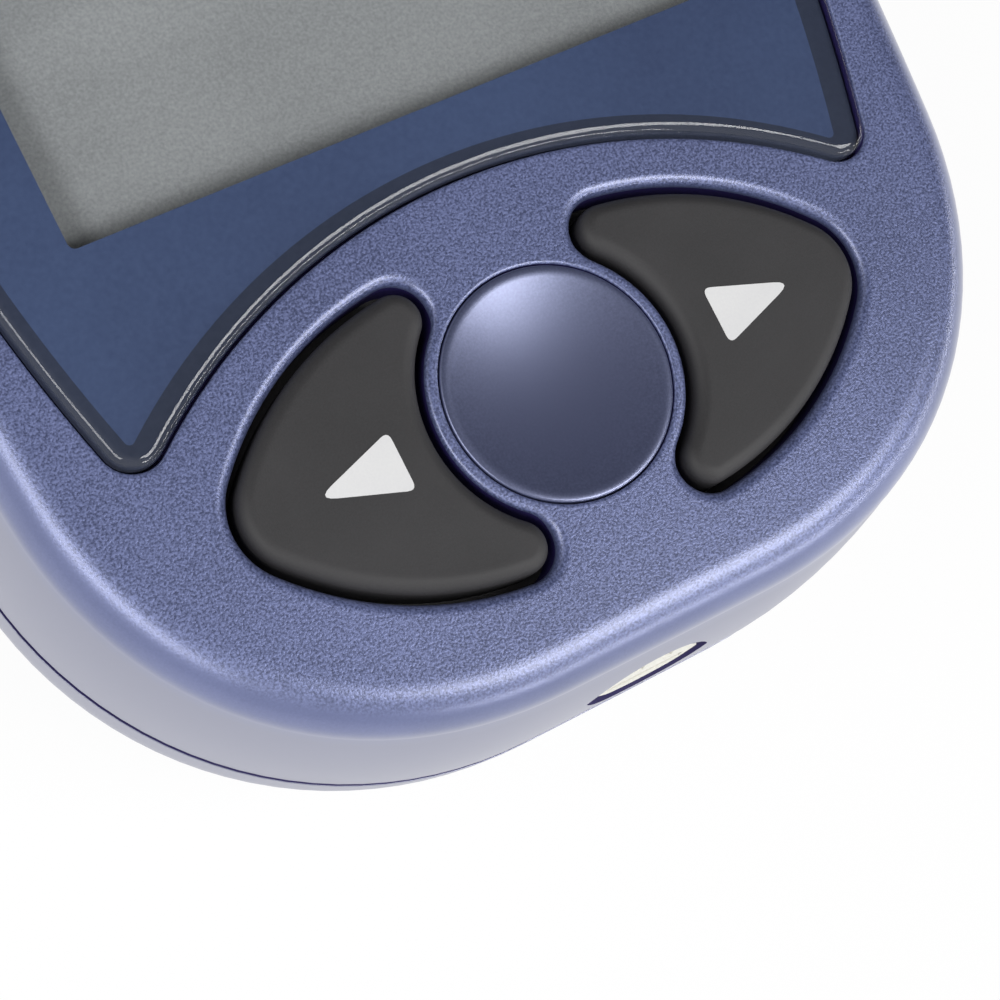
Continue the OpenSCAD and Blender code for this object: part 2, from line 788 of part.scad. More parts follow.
module strip_port() {
    notch = [0.5, 1.2, 0.9];
    notch_places = [-0.7, 0.9];
    nose_height = port_opening_height - 2 * port_gap;
    nose_top = port_height + nose_height / 2;
    color([0.94, 0.92, 0.84])
    difference() {
        union() {
            intersection() {
                port_prism(port_opening_width - 2 * port_side_gap, nose_height,
                    -half_length - cut, port_front + cut);
                case_loft([for (l = front_outer) [l[0], l[1] - nose_inset, l[2]]]);
            }
            box([-port_half, port_front, board_top], [port_half, port_back, port_roof]);
        }
        box([-strip_slot_width / 2, nose_front - cut, slot_low],
            [strip_slot_width / 2, port_back - slot_end_wall, slot_high]);
        for (i = [-1:1])
            box([i * finger_pitch - groove_width / 2, finger_tip - 0.6, slot_low + weld],
                [i * finger_pitch + groove_width / 2, port_back + cut, groove_high]);
        for (x = notch_places)
            box([x - notch.x / 2, nose_front - cut, nose_top - notch.z],
                [x + notch.x / 2, nose_front + notch.y, nose_top + cut]);
    }
}

module strip_contacts() {
    roof = groove_high - finger_sheet / 2 - finger_gap;
    foot = board_top + finger_sheet / 2;
    heel = port_back + 0.3;
    foot_length = 1.4;
    bend = slot_low + 0.35;  // lowest place of a finger, where it presses on the strip
    color([0.85, 0.7, 0.3])
    for (i = [-1:1])
        metal_strip([[finger_tip, bend + 0.3], [finger_tip + 0.9, bend], [finger_tip + 2.6, roof],
            [heel, roof], [heel, foot], [heel + foot_length, foot]],
            finger_sheet, finger_width, i * finger_pitch);
}

// ---- battery, its contacts and door -------------------------------------------------------

module coin_cell() {
    rim_height = 0.3;
    rim_inset = 1.6;
    color([0.78, 0.79, 0.8])
    translate([0, cell_y, cell_low]) {
        cylinder(r = cell_diameter / 2, h = cell_thickness - rim_height, $fn = 96);
        cylinder(r = cell_diameter / 2 - rim_inset, h = cell_thickness, $fn = 96);
    }
}

sheet = 0.25;
contact_width = 2;
tail_gap = 0.05;
module negative_contact() {
    flat = tub_roof - sheet / 2 - tail_gap;
    touch = cell_top + sheet / 2 + 0.02;
    color([0.8, 0.78, 0.7])
        metal_strip([[negative_tail_y, board_height - tail_gap], [negative_tail_y, flat],
            [negative_tail_y + 1.6, flat], [cell_y + 1, touch], [cell_y + 2.4, touch],
            [cell_y + 4, touch + 0.5]], sheet, contact_width, 0);
}

module positive_contact() {
    rim = cell_y + cell_diameter / 2 + sheet / 2 + 0.03;
    middle = cell_low + cell_thickness / 2;
    color([0.8, 0.78, 0.7])
        metal_strip([[positive_tail_y, board_height - tail_gap], [positive_tail_y, cell_top],
            [rim, middle + 0.6], [rim, middle - 0.4], [rim + 0.5, cell_low + 0.1]],
            sheet, contact_width, 0);
}

module battery_door() {
    hook_height = 0.9;
    hook_low = rail_low + rail_height + slide_gap;
    hook_x = tub_half - slide_gap;
    hook_start = rail_start + 0.3;
    hook_end = hook_start + 4.4;
    neck_x = tub_half - rail_width - slide_gap;
    neck_wall = 0.6;
    tongue_x = cell_diameter / 2 + 0.4;
    grip_count = 5;
    grip_pitch = 2;
    grip_depth = 0.4;
    grip_half = 6;
    grip_y = half_length - 17;
    color(shell_colour) {
        difference() {
            intersection() {
                case_loft(back_outer);
                box([-door_half, door_start, 0], [door_half, half_length, door_height]);
            }
            case_loft([for (l = back_inner) [l[0] - back_wall + door_wall, l[1], 0]]);
            for (i = [0:grip_count - 1])
                box([-grip_half, grip_y + i * grip_pitch, -cut],
                    [grip_half, grip_y + (i + 0.5) * grip_pitch, grip_depth]);
        }
        for (s = [0, 1])
            mirror([s, 0, 0]) {
                box([neck_x - neck_wall, hook_start, door_wall - weld],
                    [neck_x, hook_end, hook_low + hook_height]);
                box([neck_x - neck_wall, hook_start, hook_low],
                    [hook_x, hook_end, hook_low + hook_height]);
                box([tongue_x, door_start - tongue_reach, tongue_low],
                    [neck_x, rail_start, tongue_low + tongue_height]);
                box([tongue_x, door_start, door_wall - weld],
                    [neck_x, rail_start, tongue_low + tongue_height]);
            }
    }
}

module door_pad() {
    color([0.2, 0.2, 0.2])
        translate([0, cell_y, door_wall])
            cylinder(r = cell_diameter / 4, h = pad_thickness);
}

module case_screws() {
    slot_depth = 0.6;
    slot = [0.5, 2.6];
    color([0.7, 0.71, 0.73])
    place_screws()
        difference() {
            union() {
                translate([0, 0, screw_seat - screw_head_height])
                    cylinder(r = screw_head_radius, h = screw_head_height);
                translate([0, 0, screw_seat - 0.1])
                    cylinder(r = screw_radius, h = screw_length + 0.1);
            }
            for (turn = [0, 90])
                rotate(turn)
                    translate([-slot.x / 2, -slot.y / 2, screw_seat - screw_head_height - cut])
                        cube([slot.x, slot.y, slot_depth + cut]);
        }
}

top_housing();
bottom_housing();
display_lens();
lens_adhesive();
display_gasket();
display_panel();
display_frame();
display_connectors();
centre_disc();
left_key();
right_key();
left_plunger();
right_plunger();
left_switch();
right_switch();
main_board();
microcontroller();
memory_chip();
crystal();
buzzer();
thermistor();
capacitors();
chip_parts();
strip_port();
strip_contacts();
coin_cell();
negative_contact();
positive_contact();
battery_door();
door_pad();
case_screws();
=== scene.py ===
import json
import math

import bmesh
import bpy
from mathutils import Matrix, Vector


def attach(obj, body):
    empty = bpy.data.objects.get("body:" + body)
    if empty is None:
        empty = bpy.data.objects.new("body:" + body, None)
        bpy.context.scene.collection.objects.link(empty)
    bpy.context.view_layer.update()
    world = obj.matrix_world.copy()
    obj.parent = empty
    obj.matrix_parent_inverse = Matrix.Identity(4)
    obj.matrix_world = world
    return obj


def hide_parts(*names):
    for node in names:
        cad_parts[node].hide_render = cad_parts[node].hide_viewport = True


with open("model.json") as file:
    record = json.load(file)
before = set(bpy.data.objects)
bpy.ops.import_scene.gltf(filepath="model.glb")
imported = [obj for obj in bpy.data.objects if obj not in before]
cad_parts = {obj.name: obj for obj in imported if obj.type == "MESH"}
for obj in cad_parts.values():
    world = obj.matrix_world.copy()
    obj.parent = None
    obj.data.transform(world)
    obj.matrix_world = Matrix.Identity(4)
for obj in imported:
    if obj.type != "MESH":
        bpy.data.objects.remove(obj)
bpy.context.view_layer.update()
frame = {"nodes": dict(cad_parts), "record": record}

collection = bpy.context.scene.collection
print("frame loaded:", len(frame["nodes"]), "nodes")


def linked(name, data):
    made = bpy.data.objects.new(name, data)
    collection.objects.link(made)
    return made



# The camera stands close over the strip end, a little to the left
cameraView = {
    "lens": 90.516,
    "place": (-0.043672, -0.049092, 0.124701),
    "right": (0.84607, -0.45062, 0.28480),
    "up": (0.40212, 0.89024, 0.21396),
    "back": (-0.34995, -0.06650, 0.93440),
}


def addCamera(view):
    data = bpy.data.cameras.new("camera")
    data.lens = view["lens"]
    data.sensor_width = 36
    data.clip_start = 0.005
    camera = linked("camera", data)
    turn = Matrix([view["right"], view["up"], view["back"]]).transposed()
    camera.matrix_world = Matrix.Translation(view["place"]) @ turn.to_4x4()
    bpy.context.scene.camera = camera


addCamera(cameraView)


class Wire:                      # an output socket on which sums are written as plain Python
    def __init__(self, recipe, socket):
        self.recipe = recipe
        self.socket = socket

    def sum(self, operation, first, second):
        return self.recipe.node("ShaderNodeMath", {"operation": operation}, {0: first, 1: second})

    def __add__(self, other):
        return self.sum("ADD", self, other)

    def __radd__(self, other):
        return self.sum("ADD", other, self)

    def __sub__(self, other):
        return self.sum("SUBTRACT", self, other)

    def __rsub__(self, other):
        return self.sum("SUBTRACT", other, self)

    def __mul__(self, other):
        return self.sum("MULTIPLY", self, other)

    def __rmul__(self, other):
        return self.sum("MULTIPLY", other, self)

    def output(self, name):      # another output of the same node
        return Wire(self.recipe, self.socket.node.outputs[name])


class Recipe:                    # the node tree of one finish, or of the sky
    def __init__(self, name, sky=None):
        self.owner = sky or bpy.data.materials.new(name)
        self.owner.use_nodes = True
        self.tree = self.owner.node_tree
        self.tree.nodes.clear()
        self.place = self.node("ShaderNodeTexCoord", out="Object")

    def node(self, kind, settings=None, inputs=None, out=0):
        made = self.tree.nodes.new(kind)
        for key, value in (settings or {}).items():
            setattr(made, key, value)
        for key, value in (inputs or {}).items():
            if isinstance(value, Wire):
                self.tree.links.new(value.socket, made.inputs[key])
            else:
                made.inputs[key].default_value = value
        return Wire(self, made.outputs[out])

    def noise(self, grain, detail=2, place=None, roughness=0.5):      # grain in mm
        return self.node("ShaderNodeTexNoise", {}, {
            "Vector": place or self.place, "Scale": 1000 / grain, "Detail": detail,
            "Roughness": roughness}, "Fac")

    def stretched(self, sizes, turn=(0, 0, 0)):      # the place, drawn out along its axes
        return self.node("ShaderNodeMapping", {}, {
            "Vector": self.place, "Scale": sizes, "Rotation": turn}, "Vector")

    def mix(self, factor, first, second):
        made = self.node("ShaderNodeMix", {"data_type": "RGBA", "clamp_factor": True}, {}, 2)
        node = made.socket.node
        for key, value in ((0, factor), (6, first), (7, second)):
            if isinstance(value, Wire):
                self.tree.links.new(value.socket, node.inputs[key])
            else:
                node.inputs[key].default_value = value if key == 0 else (*value, 1)
        return made

    def bump(self, height, depth):      # depth in mm
        return self.node("ShaderNodeBump", {}, {"Height": height, "Distance": depth / 1000}, "Normal")

    def surface(self, inputs):
        values = {k: (*v, 1) if isinstance(v, tuple) and len(v) == 3 and "Color" in k else v
            for k, v in inputs.items()}
        return self.node("ShaderNodeBsdfPrincipled", {}, values, "BSDF")

    def finish(self, shader, output="ShaderNodeOutputMaterial"):
        end = self.tree.nodes.new(output)
        self.tree.links.new(shader.socket, end.inputs["Surface"])
        return self.owner


def contrast(value, low, high):      # 0 below low, 1 above high
    return value.recipe.node("ShaderNodeMapRange", {"clamp": True}, {
        "Value": value, "From Min": low, "From Max": high}, "Result")


def pearlPaint(name, look):      # pebbled on the face and the back, smooth on the walls; the paler grey below the fillet is a painted reflection of the white floor
    recipe = Recipe(name)
    height = recipe.node("ShaderNodeSeparateXYZ", {}, {0: recipe.place}, 2) * 1000
    pebbled = contrast(height, *look["faceStart"]) + (1 - contrast(height, *look["backEnd"]))
    walls = contrast(height, *look["wallSheenEnd"])
    flakes = recipe.noise(look["flake"], 1.5, roughness=0.6) - 0.5
    clouds = recipe.noise(look["cloud"], 3) - 0.5
    speckle = flakes * (look["wallFlakes"] + pebbled * (1 - look["wallFlakes"]))
    tone = contrast(speckle + clouds * look["cloudiness"], *look["spread"])
    pearl = recipe.mix(tone, look["dark"], look["light"])
    return recipe.finish(recipe.surface({
        # below the fillet the whole case, back shell and door included, takes the paler wall tone: a
        # painted reflection of the white floor seen on the walls
        "Base Color": recipe.mix(walls, look["wall"], pearl),
        "Metallic": look["wallMetallic"] + walls * (look["metallic"] - look["wallMetallic"]),
        "Specular IOR Level": look["specular"],
        "Roughness": look["roughness"] + pebbled * look["pebbleRoughness"] + speckle * look["patchy"],
        "Coat Weight": look["wallCoat"] + walls * (look["coat"] - look["wallCoat"]),
        "Coat Roughness": look["coatRoughness"], "Normal": recipe.bump(speckle, look["depth"])}))


housingLook = {
    "flake": 0.12, "cloud": 9, "cloudiness": 0.2, "spread": (-0.15, 0.15),
    "faceStart": (21.0, 21.4), "backEnd": (0.4, 3), "wallSheenEnd": (18.6, 20.2), "wallFlakes": 0.1,
    # wall: a paler, greyer colour for the walls and the fillet's lower part, a painted reflection of the
    # white floor at a grazing angle
    "dark": (0.066, 0.083, 0.187), "light": (0.19, 0.226, 0.45), "wall": (0.29, 0.30, 0.395),
    "metallic": 0.35, "wallMetallic": 0.6, "specular": 0.8, "roughness": 0.33,
    "pebbleRoughness": 0.05, "coat": 1.0, "wallCoat": 0.1, "coatRoughness": 0.3, "depth": 0.02,
    "patchy": 0.2,
}
discLook = {**housingLook, "roughness": 0.31, "pebbleRoughness": 0.0, "depth": 0.0008,
    "dark": (0.066, 0.078, 0.155), "light": (0.17, 0.195, 0.35), "spread": (-0.7, 0.7),
    "wallSheenEnd": (0, 1), "metallic": 0.6, "specular": 1.0, "coatRoughness": 0.27, "patchy": 0.04}


def printedInk(name, look):
    recipe = Recipe(name)
    grain = recipe.noise(look["grain"], 2)
    clouds = recipe.noise(look["cloud"], 2)
    tone = contrast(grain * 0.4 + clouds * 0.6, 0.3, 0.7)
    return recipe.finish(recipe.surface({
        "Base Color": recipe.mix(tone, look["dark"], look["light"]),
        "Roughness": look["roughness"] + (grain - 0.5) * 0.1,
        "Normal": recipe.bump(grain, look["depth"])}))


lensInkLook = {"grain": 0.25, "cloud": 14, "dark": (0.034, 0.054, 0.125),
    "light": (0.050, 0.079, 0.171), "roughness": 0.45, "depth": 0.003}
# a darker copy of the lens ink for the band under the lens's rounded edge: painted shade standing in for
# the dark reflection in the rounding
edgeShadeInkLook = {**lensInkLook, "dark": (0.017, 0.025, 0.050), "light": (0.026, 0.035, 0.068)}
markLook = {"grain": 0.12, "cloud": 3, "dark": (0.70, 0.70, 0.71),
    "light": (0.76, 0.76, 0.76), "roughness": 0.55, "depth": 0.002}


def clearAcrylic(name, look):
    recipe = Recipe(name)
    streaks = recipe.noise(look["grain"], 2)
    facing = recipe.node("ShaderNodeNewGeometry", out="Backfacing")
    gloss = recipe.node("ShaderNodeBsdfAnisotropic", {}, {
        "Color": (1, 1, 1, 1), "Roughness": look["roughness"],
        "Normal": recipe.bump(streaks, look["depth"])})
    clear = recipe.node("ShaderNodeBsdfTransparent", {}, {"Color": look["tint"]})
    edge = recipe.node("ShaderNodeFresnel", {}, {"IOR": look["ior"]})
    return recipe.finish(recipe.node("ShaderNodeMixShader", {}, {
        0: edge * (1 - facing), 1: clear, 2: gloss}))


acrylicLook = {"grain": 12, "depth": 0.004, "roughness": 0.06, "tint": (0.97, 0.98, 0.99, 1),
    "ior": 1.49}


def liquidCrystal(name, look):
    recipe = Recipe(name)
    speckle = recipe.noise(look["speckle"], 2, roughness=0.7)
    streaks = recipe.noise(1, 3, recipe.stretched((0.02, 0.22, 1), (0, 0, look["streakTurn"])))
    clouds = recipe.noise(look["cloud"], 2)
    tone = contrast(speckle * 0.45 + streaks * 0.3 + clouds * 0.25, *look["spread"])
    return recipe.finish(recipe.surface({
        "Base Color": recipe.mix(tone, look["dark"], look["light"]),
        "Roughness": look["roughness"] + (speckle - 0.5) * 0.1,
        "Normal": recipe.bump(speckle, look["depth"])}))


displayLook = {"speckle": 0.16, "cloud": 15, "streakTurn": math.radians(-35), "spread": (0.36, 0.64),
    "dark": (0.255, 0.259, 0.256), "light": (0.415, 0.418, 0.411), "roughness": 0.4, "depth": 0.004}


def moulded(name, look):      # plastic, rubber and foam that differ in grain and gloss
    recipe = Recipe(name)
    grain = recipe.noise(look["grain"], 2, roughness=0.6)
    clouds = recipe.noise(look.get("cloud", 6), 3)
    shades = look["colour"]
    light = tuple(min(1, c * look.get("lift", 1.15)) for c in shades)
    dark = tuple(c * look.get("drop", 0.86) for c in shades)
    tone = contrast(grain * 0.5 + clouds * 0.5, 0.32, 0.68)
    return recipe.finish(recipe.surface({
        "Base Color": recipe.mix(tone, dark, light),
        "Roughness": look["roughness"] + (grain - 0.5) * look.get("patchy", 0.15),
        "Normal": recipe.bump(grain, look["depth"])}))


mouldedLooks = {
    "keyRubber": {"colour": (0.031, 0.030, 0.032), "grain": 0.09, "cloud": 5, "roughness": 0.6,
        "depth": 0.006, "lift": 1.25, "drop": 0.8},
    "navyPlastic": {"colour": (0.020, 0.013, 0.10), "grain": 0.2, "roughness": 0.6, "depth": 0.006},
    "creamPlastic": {"colour": (0.74, 0.73, 0.66), "grain": 0.2, "roughness": 0.4, "depth": 0.004,
        "lift": 1.06, "drop": 0.93},
    "blackPlastic": {"colour": (0.022, 0.022, 0.024), "grain": 0.12, "roughness": 0.5,
        "depth": 0.008, "lift": 1.4},
    "whitePlastic": {"colour": (0.78, 0.78, 0.76), "grain": 0.2, "roughness": 0.42, "depth": 0.004,
        "lift": 1.06, "drop": 0.93},
    "foamRubber": {"colour": (0.028, 0.028, 0.03), "grain": 0.25, "roughness": 0.9, "depth": 0.08,
        "lift": 1.6, "drop": 0.5},
    "adhesiveSheet": {"colour": (0.05, 0.05, 0.06), "grain": 0.4, "roughness": 0.35, "depth": 0.01},
    "ceramicParts": {"colour": (0.42, 0.33, 0.21), "grain": 0.1, "cloud": 1.2, "roughness": 0.55,
        "depth": 0.006, "lift": 1.3, "drop": 0.75},
}


def layeredRubber(name, look):      # dark conducting layers between coloured ones
    recipe = Recipe(name)
    grain = recipe.noise(look["grain"], 2)
    across = recipe.node("ShaderNodeSeparateXYZ", {}, {0: recipe.place}, "X")
    wave = recipe.node("ShaderNodeMath", {"operation": "SINE"}, {
        0: across * (2000 * math.pi / look["pitch"])})
    layers = contrast(wave, -0.2, 0.2)
    return recipe.finish(recipe.surface({
        "Base Color": recipe.mix(layers, look["layer"], look["body"]),
        "Roughness": look["roughness"] + (grain - 0.5) * 0.2,
        "Normal": recipe.bump(grain, look["depth"])}))


connectorLook = {"grain": 0.15, "pitch": 0.36, "layer": (0.05, 0.04, 0.05),
    "body": (0.70, 0.30, 0.42), "roughness": 0.6, "depth": 0.006}


def solderMask(name, look):      # green lacquer, lighter over copper areas and thin tracks
    recipe = Recipe(name)
    cells = recipe.node("ShaderNodeTexBrick", {"offset": 0.5, "squash": look["stretch"],
        "squash_frequency": look["stretchedRow"]}, {
        "Vector": recipe.place, "Scale": 1000 / look["pitch"], "Mortar Size": look["trackWidth"],
        "Mortar Smooth": look["trackSoft"], "Brick Width": look["areaLength"],
        "Row Height": look["areaWidth"], "Color1": (0, 0, 0, 1), "Mortar": (1, 1, 1, 1),
        "Color2": (*[look["areaShade"]] * 3, 1)}, "Color")
    height = recipe.node("ShaderNodeRGBToBW", {}, {0: cells})
    grain = recipe.noise(look["grain"], 3)
    return recipe.finish(recipe.surface({
        "Base Color": recipe.mix(contrast(height + (grain - 0.5) * 0.2, 0, 1),
            look["mask"], look["copper"]),
        "Roughness": look["roughness"] + (grain - 0.5) * 0.12,
        "Normal": recipe.bump(height, look["depth"])}))


boardLook = {"pitch": 2.4, "trackWidth": 0.06, "trackSoft": 0.1, "areaLength": 1.9,
    "areaWidth": 0.55, "areaShade": 0.35, "stretch": 1.6, "stretchedRow": 3, "grain": 0.8,
    "mask": (0.012, 0.10, 0.045), "copper": (0.06, 0.27, 0.09), "roughness": 0.32, "depth": 0.03}


def sheetMetal(name, look):      # brushed along one axis, with a few rubbed spots
    recipe = Recipe(name)
    brushed = recipe.noise(1, 3, recipe.stretched(look["brush"]), 0.65)
    spots = recipe.noise(look["spot"], 3)
    tone = contrast(brushed * 0.6 + spots * 0.4, 0.3, 0.7)
    return recipe.finish(recipe.surface({
        "Base Color": recipe.mix(tone, tuple(c * 0.82 for c in look["colour"]), look["colour"]),
        "Metallic": 1.0,
        "Roughness": look["roughness"] + (brushed - 0.5) * 0.22 + (spots - 0.5) * 0.12,
        "Normal": recipe.bump(brushed, look["depth"])}))


metalLooks = {
    "drawnCan": {"colour": (0.66, 0.67, 0.69), "brush": (8, 8, 0.6), "spot": 1.5,
        "roughness": 0.3, "depth": 0.003},
    "goldSpring": {"colour": (0.82, 0.60, 0.24), "brush": (9, 0.5, 0.5), "spot": 1.2,
        "roughness": 0.25, "depth": 0.002},
    "nickelSpring": {"colour": (0.62, 0.60, 0.55), "brush": (9, 0.5, 0.5), "spot": 1.2,
        "roughness": 0.3, "depth": 0.003},
    "cellSteel": {"colour": (0.68, 0.69, 0.70), "brush": (0.12, 6, 6), "spot": 4,
        "roughness": 0.3, "depth": 0.003},
    "screwSteel": {"colour": (0.55, 0.56, 0.57), "brush": (5, 5, 0.8), "spot": 0.8,
        "roughness": 0.34, "depth": 0.004},
}

finishes = {
    "housing": pearlPaint("pearlHousingPaint", housingLook),
    "disc": pearlPaint("smoothDiscPaint", discLook),
    "ink": printedInk("blueLensInk", lensInkLook),
    # the darker lens ink is painted shade for the lens's rounded edge
    "edgeShadeInk": printedInk("darkBorderInk", edgeShadeInkLook),
    "mark": printedInk("whiteMarkInk", markLook),
    "acrylic": clearAcrylic("clearAcrylic", acrylicLook),
    "display": liquidCrystal("greyDisplayGlass", displayLook),
    "connector": layeredRubber("layeredConnectorRubber", connectorLook),
    "board": solderMask("greenSolderMask", boardLook),
    **{name: moulded(name, look) for name, look in mouldedLooks.items()},
    **{name: sheetMetal(name, look) for name, look in metalLooks.items()},
}
print("finishes mixed:", len(finishes))

# Outlines are lists of (centre x, centre y, radius, angle, side): side -1 is a hollow arc.
# All sizes below are in millimetres, and finished meshes are brought to metres.


def meet(p, rp, q, rq, side):      # the point rp from p and rq from q
    span = Vector(q) - Vector(p)
    length = span.length
    along = (rp * rp - rq * rq + length * length) / (2 * length)
    off = math.sqrt(rp * rp - along * along)
    x, y = span / length
    return (p[0] + along * x - side * off * y, p[1] + along * y + side * off * x)


def bearing(p, q):
    return math.degrees(math.atan2(q[1] - p[1], q[0] - p[0]))


def arc(centre, radius, start, end, side=1, finest=1.2):
    sweep = abs(end - start)
    count = max(3, math.ceil(sweep / 5), math.ceil(math.radians(sweep) * radius / finest))
    return [(*centre, radius, start + (end - start) * i / count, side) for i in range(count + 1)]


def joined(arcs):      # one outline of arcs that meet end to end, each shared place kept once
    return [station for arcStations in arcs for station in arcStations[1:]]


def bothHalves(half):      # a right-hand half from the lowest place up, and its mirror image
    turned = [(-x, y, radius, 180 - angle, side) for x, y, radius, angle, side in reversed(half)]
    return half + turned[1:-1]


def spot(station, offset):
    x, y, radius, angle, side = station
    reach = radius + side * offset
    return (x + reach * math.cos(math.radians(angle)), y + reach * math.sin(math.radians(angle)))


def ring(outline, height, offset=0.0, endLean=0.0):      # endLean draws in the strip end
    points = []
    for station in outline:
        d = offset(*spot(station, 0)) if callable(offset) else offset
        facing = min(0, math.sin(math.radians(station[3])))
        points.append((*spot(station, d - endLean * facing ** 6), height))
    return points


def roundedBox(low, high, radius):
    x0, y0, x1, y1 = low[0] + radius, low[1] + radius, high[0] - radius, high[1] - radius
    corners = [((x1, y1), 0), ((x0, y1), 90), ((x0, y0), 180), ((x1, y0), 270)]
    return [station for centre, start in corners
        for station in arc(centre, radius, start, start + 90)]


def circle(centre, radius, count=96):
    return [(*centre, radius, 360 * i / count, 1) for i in range(count)]


def quarter(steps):      # sines and cosines from 0 to 90 degrees
    return [(math.sin(math.pi / 2 * i / steps), math.cos(math.pi / 2 * i / steps))
        for i in range(steps + 1)]


def meshObject(name, mesh):      # closes the work on a mesh, and tells where it is open
    bmesh.ops.recalc_face_normals(mesh, faces=mesh.faces)
    loose = [e for e in mesh.edges if len(e.link_faces) != 2]
    if loose:
        print("open edges in", name, len(loose))
    data = bpy.data.meshes.new(name)
    mesh.to_mesh(data)
    mesh.free()
    return linked(name, data)


class Skin:      # a mesh made of rings of points
    def __init__(self):
        self.mesh = bmesh.new()

    def ring(self, points):
        return [self.mesh.verts.new(p) for p in points]

    def wrap(self, rings):      # walls from each ring to the next
        rings = [r if isinstance(r[0], bmesh.types.BMVert) else self.ring(r) for r in rings]
        for lower, upper in zip(rings, rings[1:]):
            for i in range(len(lower)):
                self.mesh.faces.new((lower[i - 1], lower[i], upper[i], upper[i - 1]))
        return rings

    def bare(self, painted):      # all other faces take the second finish
        for face in self.mesh.faces:
            face.material_index = 0 if face in painted else 1

    def fill(self, *outlines):      # one flat face, with holes
        edges = []
        for points in outlines:
            for i in range(len(points)):
                pair = (points[i - 1], points[i])
                edges.append(self.mesh.edges.get(pair) or self.mesh.edges.new(pair))
        bmesh.ops.triangle_fill(self.mesh, use_beauty=True, use_dissolve=False, edges=edges,
            normal=(0, 0, 1))

    def closed(self, rings):      # a solid from the first ring to the last
        made = self.wrap(rings)
        self.fill(made[0])
        self.fill(made[-1])
        return made

    def object(self, name):
        bmesh.ops.remove_doubles(self.mesh, verts=self.mesh.verts, dist=1e-5)
        return meshObject(name, self.mesh)


def solid(name, rings):
    skin = Skin()
    skin.closed(rings)
    return skin.object(name)


def block(name, low, high, radius=0.05, soften=0.0):      # a box with rounded upright edges
    outline = roundedBox(low, high, radius)
    if not soften:
        return solid(name, [ring(outline, low[2]), ring(outline, high[2])])
    return solid(name, [ring(outline, low[2], -soften), ring(outline, low[2] + soften),
        ring(outline, high[2] - soften), ring(outline, high[2], -soften)])


def evaluated(made):
    graph = bpy.context.evaluated_depsgraph_get()
    data = bpy.data.meshes.new_from_object(made.evaluated_get(graph), depsgraph=graph)
    made.modifiers.clear()
    made.data = data
    return made


def carve(made, steps):      # steps are (operation, tool) pairs, worked in their order
    for operation, tool in steps:
        bare = 0 if tool.name.startswith("painted") else 1
        tool.data.polygons.foreach_set("material_index", [bare] * len(tool.data.polygons))
        modifier = made.modifiers.new("cut", "BOOLEAN")
        modifier.operation = operation
        modifier.solver = "EXACT"
        modifier.object = tool
    evaluated(made)
    for operation, tool in steps:
        bpy.data.objects.remove(tool)
    return made


sharpAngle = math.radians(35)      # edges that turn further stay sharp in shading


def finishPiece(made, names, body, replaced=()):      # names of one or two finishes
    data = made.data
    data.transform(Matrix.Scale(0.001, 4))
    data.shade_smooth()
    data.set_sharp_from_angle(angle=sharpAngle)
    modifier = made.modifiers.new("shading", "WEIGHTED_NORMAL")
    modifier.keep_sharp = True
    evaluated(made)
    data = made.data
    kept = [0] * len(data.polygons)
    data.polygons.foreach_get("material_index", kept)
    data.materials.clear()
    for name in names:
        data.materials.append(finishes[name])
    data.polygons.foreach_set("material_index", [min(i, len(names) - 1) for i in kept])
    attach(made, body)
    if replaced:
        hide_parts(*replaced)
    print("piece", made.name, len(data.polygons), "faces")


# The case's outline at the parting line
outlineSizes = {"halfLength": 52, "halfWidth": 26.35, "widestY": -9.5, "stripEndRadius": 1200,
    "stripCornerRadius": 20, "sideRadius": 274.04, "displayEndRadius": 75,
    "displayCornerRadius": 19}


def caseOutline(sizes):
    end = (0, sizes["stripEndRadius"] - sizes["halfLength"])
    far = (0, sizes["halfLength"] - sizes["displayEndRadius"])
    side = (sizes["halfWidth"] - sizes["sideRadius"], sizes["widestY"])
    corner = meet(end, sizes["stripEndRadius"] - sizes["stripCornerRadius"],
        side, sizes["sideRadius"] - sizes["stripCornerRadius"], 1)
    farCorner = meet(far, sizes["displayEndRadius"] - sizes["displayCornerRadius"],
        side, sizes["sideRadius"] - sizes["displayCornerRadius"], -1)
    half = joined([
        arc(end, sizes["stripEndRadius"], -90, bearing(end, corner)),
        arc(corner, sizes["stripCornerRadius"], bearing(end, corner), bearing(side, corner)),
        arc(side, sizes["sideRadius"], bearing(side, corner), bearing(side, farCorner)),
        arc(farCorner, sizes["displayCornerRadius"], bearing(side, farCorner),
            bearing(far, farCorner)),
        arc(far, sizes["displayEndRadius"], bearing(far, farCorner), 90)])
    return bothHalves([(*end, sizes["stripEndRadius"], -90, 1)] + half)


caseEdge = caseOutline(outlineSizes)

# The lens's outline
lensOutlineSizes = {"hollowRadius": 28.9, "hollowY": -56.66, "cornerRadius": 1.5, "halfWidth": 22.8,
    "widestY": -12.1, "nearRadius": 80, "farRadius": 230.1, "topRadius": 52, "topY": -14,
    "topCornerRadius": 8}


